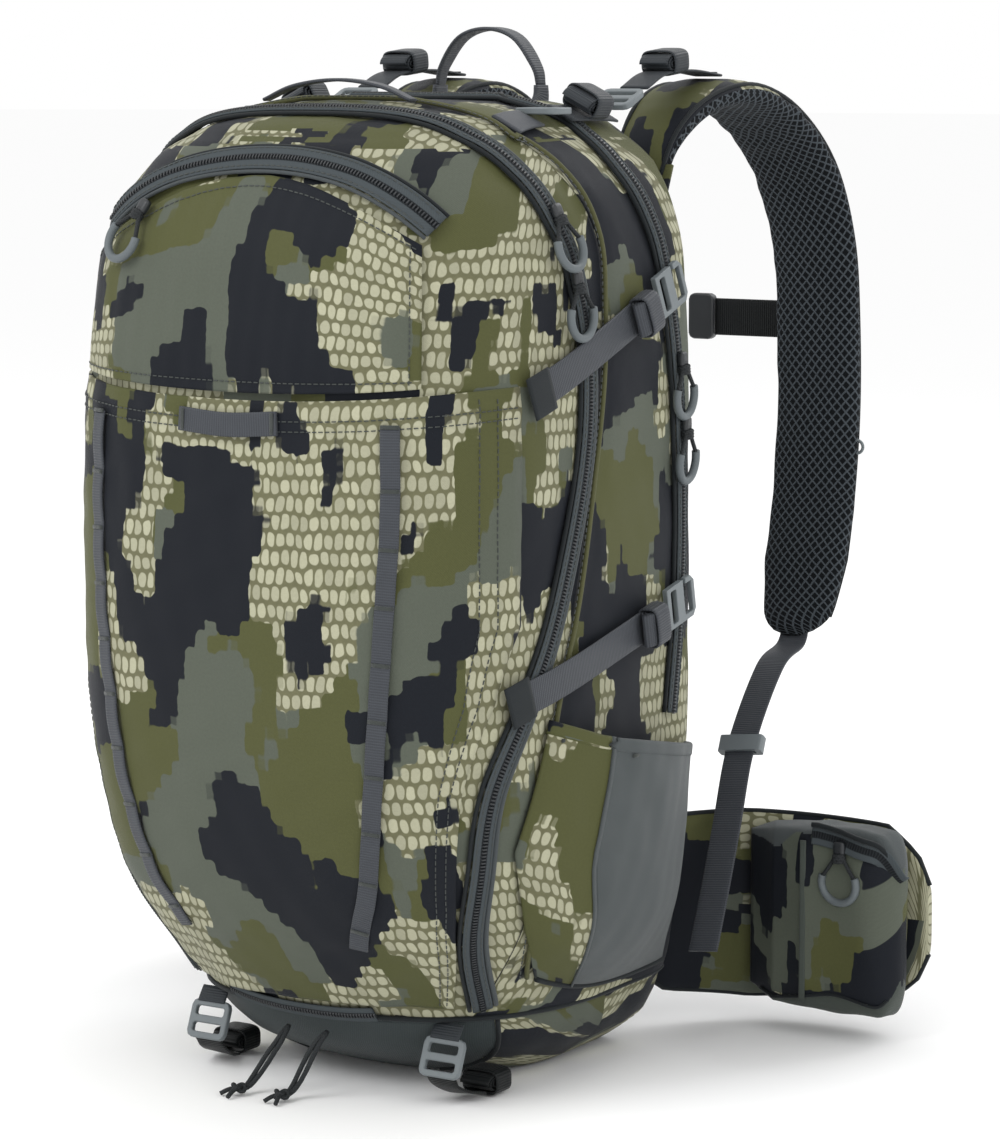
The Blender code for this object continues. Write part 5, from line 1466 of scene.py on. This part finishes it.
for tag, side in SIDES:
    body = "hip_wing_" + tag
    line, normal = wing_line(side)
    share = np.linspace(0, 1, len(line))
    half = np.interp(share, [0, 0.12, 0.4, 0.85, 1], [0.040, 0.056, 0.060, 0.056, 0.034])
    half = half * (1 - 0.35 * np.clip((share - 0.93) / 0.07, 0, 1) ** 3)
    thick = np.interp(share, [0, 0.1, 0.9, 1], [0.0045, 0.006, 0.006, 0.0035])
    centre_z = np.interp(share, [0, 0.4, 1], [0.080, 0.0755, 0.0755])
    rings = np.array([superellipse(p + UP * cz, n, UP, t, h, 3.0, 60)
                      for p, n, t, h, cz in zip(line, normal, thick, half, centre_z)])
    flat = rings.reshape(-1, 3)
    relief = 0.0005 * swells(flat, 71, 0.03)
    rings = (flat + relief[:, None] * np.repeat(normal, 60, axis=0)).reshape(rings.shape)
    wing = surface("belt_wing_" + tag, rings, CAMO["belt"], body, ["hip_wing_" + tag],
                   around=True, closed=True)
    side_now = side

    def wearer_side(_, normals):
        """Faces that look towards the wearer."""
        return normals[:, 0] * side_now + normals[:, 1] * -1.0 < -0.75

    two_cloths(wing, BACK_MESH, wearer_side)
    for number, sense in enumerate((-1, 1)):
        seam = line + (centre_z + sense * half)[:, None] * UP
        bound("wing_binding_%s_%d" % (tag, number), seam[::2], normal[::2], 0.0019, body)
    # The box starts thin at the wing's middle, swells, and rounds off at its far end.
    t = 1 - (1 - np.linspace(0, 1, 84)) ** 1.6
    places = 0.40 + 0.588 * t
    corner = (1 - np.clip((t - 0.80) / 0.20, 0, 1) ** 2.2 * 0.995) ** (1 / 2.2)
    depth = POCKET_DEPTH * np.interp(t, [0, 0.15, 0.4, 0.8, 1], [0.22, 0.72, 1.0, 0.97, 0.95]) * corner
    tall = np.interp(t, [0, 0.15, 0.5, 0.9, 1], [0.050, 0.057, 0.0610, 0.0600, 0.0585])
    tall = tall * (1 - np.clip((t - 0.90) / 0.10, 0, 1) ** 3 * 0.35)
    at, out = along_line(line, share, places), unit(along_line(normal, share, places))
    at = at + out * (WING_THICKNESS / 2 + 0.001 + POCKET_DEPTH * 0.5 * np.interp(t, [0, 0.15, 0.4, 1],
                                                                                [0.22, 0.72, 1.0, 0.97]))[:, None]
    cz = np.interp(places, share, centre_z)
    rings = np.array([superellipse(p + UP * z, o, UP, d / 2, h, 5.0, 96) for p, o, d, h, z in
                      zip(at, out, depth, tall, cz)])
    flat = rings.reshape(-1, 3)
    centre = np.repeat(at + cz[:, None] * UP, 96, axis=0)
    relief = 0.0014 * swells(flat, 73, 0.045) + 0.0008 * swells(flat * (1.5, 1.5, 0.7), 74, 0.02) - 0.0008
    rings = (flat + relief[:, None] * unit(flat - centre)).reshape(rings.shape)
    # The print runs along the wing and over the box's depth, so it doesn't swirl at the ends.
    stretch = run_length(at)[:, None]
    outer = ((rings - at[:, None]) * out[:, None]).sum(axis=2)
    mapped = np.stack([stretch + outer, rings[..., 2] + outer], axis=-1)
    mapped = np.concatenate([mapped, mapped[:, :1]], axis=1)
    box = surface("belt_pocket_" + tag, rings, CAMO["belt"], body, ["hip_pocket_" + tag],
                  around=True, closed=True, uv=mapped)
    lid_height = np.interp(t, [0, 0.10, 0.20, 0.34, 0.7, 1], [0.97, 0.86, 0.76, 0.93, 0.87, 0.76])
    pocket_at, pocket_cz, pocket_tall = at, cz, tall

    def share_of_height(centres):
        """The nearest ring of the pocket to each face, and the face's height in shares of that ring's."""
        nearest = np.argmin(((centres[:, None, :2] - pocket_at[None, :, :2]) ** 2).sum(axis=2), axis=1)
        return nearest, (centres[:, 2] - pocket_cz[nearest]) / pocket_tall[nearest]

    def on_the_lid(centres, _):
        """Faces above the line of the zip."""
        nearest, height = share_of_height(centres)
        return height > lid_height[nearest]

    def under_the_box(centres, _):
        """Faces below the seam at the pocket's foot."""
        nearest, height = share_of_height(centres)
        return height < -0.86 - 0.10 * np.cos(t[nearest] * 5)

    two_cloths(box, STRETCH, on_the_lid)
    two_cloths(box, BELT_GREY, under_the_box)
    half_out = (depth / 2)[:, None]
    zip_path = at + out * half_out + (cz + tall * lid_height)[:, None] * UP
    end_share = (np.clip(lid_height, 0, 1) ** 5.0)[:, None]
    zip_path = zip_path - out * half_out * (1 - (1 - end_share) ** 0.2)
    sweep = slice(26, 84)
    zip_line = evenly(zip_path[sweep], 70)
    face_normal = unit(np.stack([np.interp(np.linspace(0, 1, 70), np.linspace(0, 1, 58), out[sweep][:, k])
                                 for k in range(3)], axis=1) + 0.25 * UP)
    carried("belt_zip_tape_" + tag, zip_line + face_normal * 0.0012, face_normal, flat_profile(0.0125, 0.0016),
            TAPE, body)
    lip = zip_line + face_normal * 0.0020 + UP * 0.0062
    bound("belt_zip_lip_" + tag, lip, face_normal, 0.0017, body)
    seam_low = at + out * (half_out * 0.93) + (cz + tall * (-0.86 - 0.10 * np.cos(t * 5)))[:, None] * UP
    bound("belt_foot_seam_" + tag, seam_low[3:74], out[3:74], 0.0010, body, sides=6)
    k = 44
    face = zip_path[k] + out[k] * 0.0042
    ring_pull("belt_pull_" + tag, face, -UP, out[k], body)
    seam_place = 22
    column = np.linspace(-0.86, 0.86, 20)
    seam = (at[seam_place] + out[seam_place] * (depth[seam_place] / 2 * 0.995)
            + (cz[seam_place] + tall[seam_place] * column)[:, None] * UP)
    carried("belt_seam_" + tag, seam, out[seam_place], flat_profile(0.0040, 0.0016), BELT_GREY, body)
    toward, inward = unit(np.gradient(line, axis=0))[-1], -normal
    gap = WING_THICKNESS / 2 + 0.003
    n = len(line)
    back = [n - 1, int(n * 0.86), int(n * 0.72), int(n * 0.64)]
    tip = line[-1] + inward[-1] * gap - toward * 0.006 + UP * 0.072
    route = [tip, tip - toward * 0.012 + inward[-1] * 0.006,
             line[back[1]] + inward[back[1]] * (gap + 0.012) + UP * 0.070,
             line[back[2]] + inward[back[2]] * (gap + 0.008) + UP * 0.068]
    cad_low, cad_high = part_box("belt_webbing_" + tag)
    route = smooth_path(route, 0.004)
    route = np.clip(route, np.array(cad_low) + (0, 0, 0.012), np.array(cad_high) - (0, 0, 0.012))
    carried("belt_strap_" + tag, route, np.cross(unit(np.gradient(route, axis=0)), UP),
            flat_profile(WIDE_STRAP, WEB_THICKNESS), GREY_WEB, body, ["belt_webbing_" + tag])
    root_x = np.linspace(side * 0.062, side * 0.100, 12)
    root_y = np.interp(np.abs(root_x), [0.062, 0.0855, 0.100], [0.1445, 0.1455, 0.1590])
    levels = np.linspace(0.042, 0.118, 14)
    grid = np.stack([np.broadcast_to(v, (14, 12)) for v in (root_x[None], root_y[None], levels[:, None])], axis=-1)
    root = surface("wing_root_" + tag, grid.copy(), LINING, None, wall=0.0016,
                   outward=(side, -1, 0))
    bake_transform(root)
print("hip belt ready")

# %% [markdown]
# ## Back panel
# The wearer's side is a crowned foam pad under spacer mesh, with sewn channels for air. It is built as rings of
# a rounded rectangle that shrink to its middle; each ring's height comes from the crown and the channels.


# %% Back and lumbar pads
def crowned_pad(name, half_x, low, high, near, far, roundness, channel, material, nodes):
    """Rings of a superellipse, from the flat back's middle out to the edge and in again over the crown, whose
    height is (1 - share^7)^0.45 at each share of the way out, less the channels."""
    angle = np.linspace(0, 2 * math.pi, 160, endpoint=False)
    a = signed_power(np.cos(angle), 2 / roundness) * half_x
    b = signed_power(np.sin(angle), 2 / roundness) * (high - low) / 2
    over_crown = np.linspace(1, 0.02, 70)[1:] ** 0.9
    shares = np.concatenate([np.linspace(0.1, 1, 6), over_crown])
    crown = np.concatenate([np.zeros(6), (1 - over_crown ** 7) ** 0.45])
    x, z = shares[:, None] * a, (low + high) / 2 + shares[:, None] * b
    raised = crown[:, None] * (1 - channel(x, z))
    rippled = 0.0005 * swells(np.stack([x, 0 * x, z], axis=-1).reshape(-1, 3), 81, 0.03).reshape(x.shape)
    y = near + (far - near) * raised + rippled * crown[:, None]
    pad = surface(name, np.stack([x, y, z], axis=-1), material, "bag", nodes, around=True,
                  closed=True, uv=np.stack([np.concatenate([x, x[:, :1]], axis=1),
                                            np.concatenate([z, z[:, :1]], axis=1)], axis=-1))
    return pad


def groove(distance, width):
    """A bell curve: 1 in the channel's middle and near 0 two widths away."""
    return np.exp(-(distance / width) ** 2)


def back_channels(x, z):
    """One upright channel and three slanted pairs, as shares of the crown taken away."""
    rows = np.max([groove(z - level - 0.10 * np.abs(x), 0.0045) for level in (0.20, 0.30, 0.40)], axis=0)
    return np.clip(0.85 * groove(x, 0.011) + 0.45 * rows * (np.abs(x) < 0.10), 0, 0.9)


back_low, back_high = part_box("back_panel")
crowned_pad("back_pad", back_high.x, back_low.z, back_high.z, back_low.y, back_high.y, 7.0, back_channels,
            BACK_MESH, ["back_panel"])
lumbar_low, lumbar_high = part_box("lumbar_pad")
crowned_pad("lumbar_cushion", lumbar_high.x, lumbar_low.z, lumbar_high.z, lumbar_low.y, lumbar_high.y, 5.0,
            lambda x, z: 0.5 * groove(x, 0.010), BACK_MESH, ["lumbar_pad"])
turn = np.linspace(0, 2 * math.pi, 181)
edge_x = signed_power(np.cos(turn), 2 / 7) * (back_high.x + 0.0005)
edge_z = (back_low.z + back_high.z) / 2 + signed_power(np.sin(turn), 2 / 7) * (back_high.z - back_low.z + 0.001) / 2
edging = evenly(np.stack([edge_x, np.full(181, back_low.y + 0.002), edge_z], axis=1), 200)
carried("back_edging", edging, (0, 1, 0), round_profile(0.0024, 8), DARK_PIPING, "bag",
        closed=False)
print("back pads ready")

# %% [markdown]
# ## Loops, top straps and lash straps
# The carry loop stands over the back edge and a lighter loop over the front. Between them a strap runs from the
# front seam through its hook to a folded spare end on each side.
# %% Carry loop and front loop
lift_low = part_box("haul_loop")[0]
haul = [(x, 0.115, lift_low.z + z) for x, z in ((-0.037, 0.002), (-0.034, 0.014), (-0.020, 0.032), (0, 0.0375),
                                                (0.020, 0.032), (0.034, 0.014), (0.037, 0.002))]
haul = smooth_path(haul, 0.003)
inward = np.array([0, 0, lift_low.z]) - haul * (1, 0, 1)
carried("carry_loop", haul, -inward, flat_profile(0.0150, 0.0024), GREY_WEB, "haul_loop",
        ["haul_loop"], width=[0.62, 0.9, 1.0, 1.0, 1.0, 0.9, 0.62])
for tag, side in SIDES:
    foot = smooth_path(mirrored([(0.0370, 0.115, 0.5972), (0.0374, 0.1145, 0.5900), (0.0385, 0.1100, 0.5800)],
                                side), 0.002)
    carried("carry_loop_foot_" + tag, foot, (side, 0, 0), flat_profile(0.0150, 0.0026), GREY_WEB, "bag",
            width=[1.0, 1.15, 1.5])
front_arch = [(x, -0.052, PACK_HEIGHT + z) for x, z in ((-0.052, 0.0012), (-0.030, 0.0095), (0, 0.0130),
                                                        (0.030, 0.0095), (0.052, 0.0012))]
front_arch = smooth_path(front_arch, 0.003)
carried("front_carry_loop", front_arch, (0, 0, 1), flat_profile(0.0100, 0.0020), GREY_WEB, "bag",
        ["front_loop"], width=[0.8, 1, 1, 1, 0.8])

# %% [markdown]
# ### Straps over the top and under the base
# The top straps lie on the bag, so their routes are dropped on it. The lash straps hang free from their buckles,
# so theirs are drawn as curves in space.


# %% Top straps
for tag, side in SIDES:
    x = side * 0.098
    sewn_on("top_strap_front_" + tag, [(x, -0.030, 0.57), (x, -0.012, 0.575), (x, 0.004, 0.58)],
            STRAP_PROFILE, 0.0030, GREY_WEB)
    sewn_on("top_strap_rear_" + tag, [(x, 0.034, 0.58), (x, 0.060, 0.58), (x, 0.088, 0.58)],
            STRAP_PROFILE, 0.0060, DARK_WEB)
    fold_at, fold_up = on_bag([(x, 0.060, 0.58)], 0.0138)
    folded_keeper("top_fold_" + tag, fold_at[0], fold_up[0], np.array((0.0, 1.0, 0.0)), 0.0200, "bag",
                  material=DARK_WEB, size=1.1)


# %% Lash straps under the base
for tag, side in SIDES:
    x = side * 0.085
    hang = smooth_path([(x, -0.0655, 0.0485), (x, -0.0690, 0.0440), (x, -0.0715, 0.0400)], 0.002)
    carried("lash_strap_top_" + tag, hang, (0, -1, 0.4), STRAP_PROFILE, DARK_WEB, "bag")
    under = smooth_path([(x, -0.0755, 0.0185), (x, -0.0700, 0.0120), (side * 0.088, -0.0600, 0.0065),
                         (side * 0.092, -0.0480, 0.0034)], 0.002)
    carried("lash_strap_low_" + tag, under, (0, -0.6, -1), STRAP_PROFILE, BLACK_WEB, "bag")
    folded_keeper("lash_fold_" + tag, np.array((side * 0.092, -0.0370, 0.0090)), UP, np.array((0.0, 1.0, 0.0)),
                  0.0200, "bag", BLACK_WEB)
    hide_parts("lash_roll_" + tag)
print("loops and straps ready")

# %% [markdown]
# ## Pull cords of the base zip
# Two pull cords hang from the base zip, down to the floor in front of the base. Each is doubled: two strands of
# braided cord of a fixed length follow one smooth curve, a little apart in its middle, and end in one overhand
# knot with two cut tails, which lies on the floor.
# %% Pull cords
STRAND_THICK = 0.0030
CORD_ROUTES = {
    "base_cord_R": [(0.016, -0.0930, 0.0400), (0.015, -0.0975, 0.0370), (0.012, -0.1010, 0.0310),
                    (0.009, -0.1030, 0.0240), (0.006, -0.1050, 0.0165), (0.003, -0.1070, 0.0095),
                    (0.001, -0.1110, 0.0048), (-0.001, -0.1165, 0.0034)],
    "base_cord_L": [(-0.012, -0.0930, 0.0400), (-0.012, -0.0975, 0.0370), (-0.014, -0.1015, 0.0310),
                    (-0.018, -0.1040, 0.0240), (-0.022, -0.1065, 0.0165), (-0.026, -0.1090, 0.0095),
                    (-0.0285, -0.1130, 0.0048), (-0.031, -0.1185, 0.0034)]}


def knotted(name, centre, size, body, lean):
    """An overhand knot: cord carried along a trefoil curve, with two cut ends that lie on the floor."""
    t = np.linspace(0, 2 * math.pi, 73)
    path = np.stack([np.sin(t) + 2 * np.sin(2 * t), np.cos(t) - 2 * np.cos(2 * t), -1.2 * np.sin(3 * t)], axis=1)
    centre = np.asarray(centre, float)
    path = centre + path * size * (1, 1, 0.9)
    up = unit(path - centre) + (0, 0, 0.15)
    knot = carried(name, path, up, round_profile(0.0015, 8), CORD, body, closed=False)
    tails = []
    for number, turn in enumerate((lean - 0.45, lean + 0.5)):
        way = np.array([math.sin(turn), -math.cos(turn), 0.0])
        tail = smooth_path([centre + way * 0.002, centre + way * 0.006 - (0, 0, 0.0010),
                            (centre + way * 0.0105) * (1, 1, 0) + (0, 0, 0.0017)], 0.001)
        tails.append(carried("%s_tail_%d" % (name, number), tail, (0, 0, 1), round_profile(0.0014, 8), CORD, body))
    return [knot, *tails]


for node, route in CORD_ROUTES.items():
    line = smooth_path(route, 0.0025)
    share = np.linspace(0, 1, len(line))
    apart = 0.0020 * np.sin(math.pi * share)[:, None] ** 0.6 * np.array([1.0, 0.25, 0.0])
    reference = np.array([1.0, 0.2, 0.0])
    strands = [carried("%s_strand_%d" % (node, number), line + sense * apart, reference,
                       round_profile(STRAND_THICK / 2, 12), CORD, "bag",
                       [node] if number == 0 else [])
               for number, sense in enumerate((1, -1))]
    lean = -0.5 if node.endswith("L") else -0.2
    knots = knotted(node + "_knot", line[-1] + (0, -0.0005, 0.0015), 0.0014, "bag", lean)
    for number, strand in enumerate(strands):
        path = line + (1, -1)[number] * apart
        knots if number == 0 else ()
    print(node, "is %.3f m long" % run_length(line)[-1])
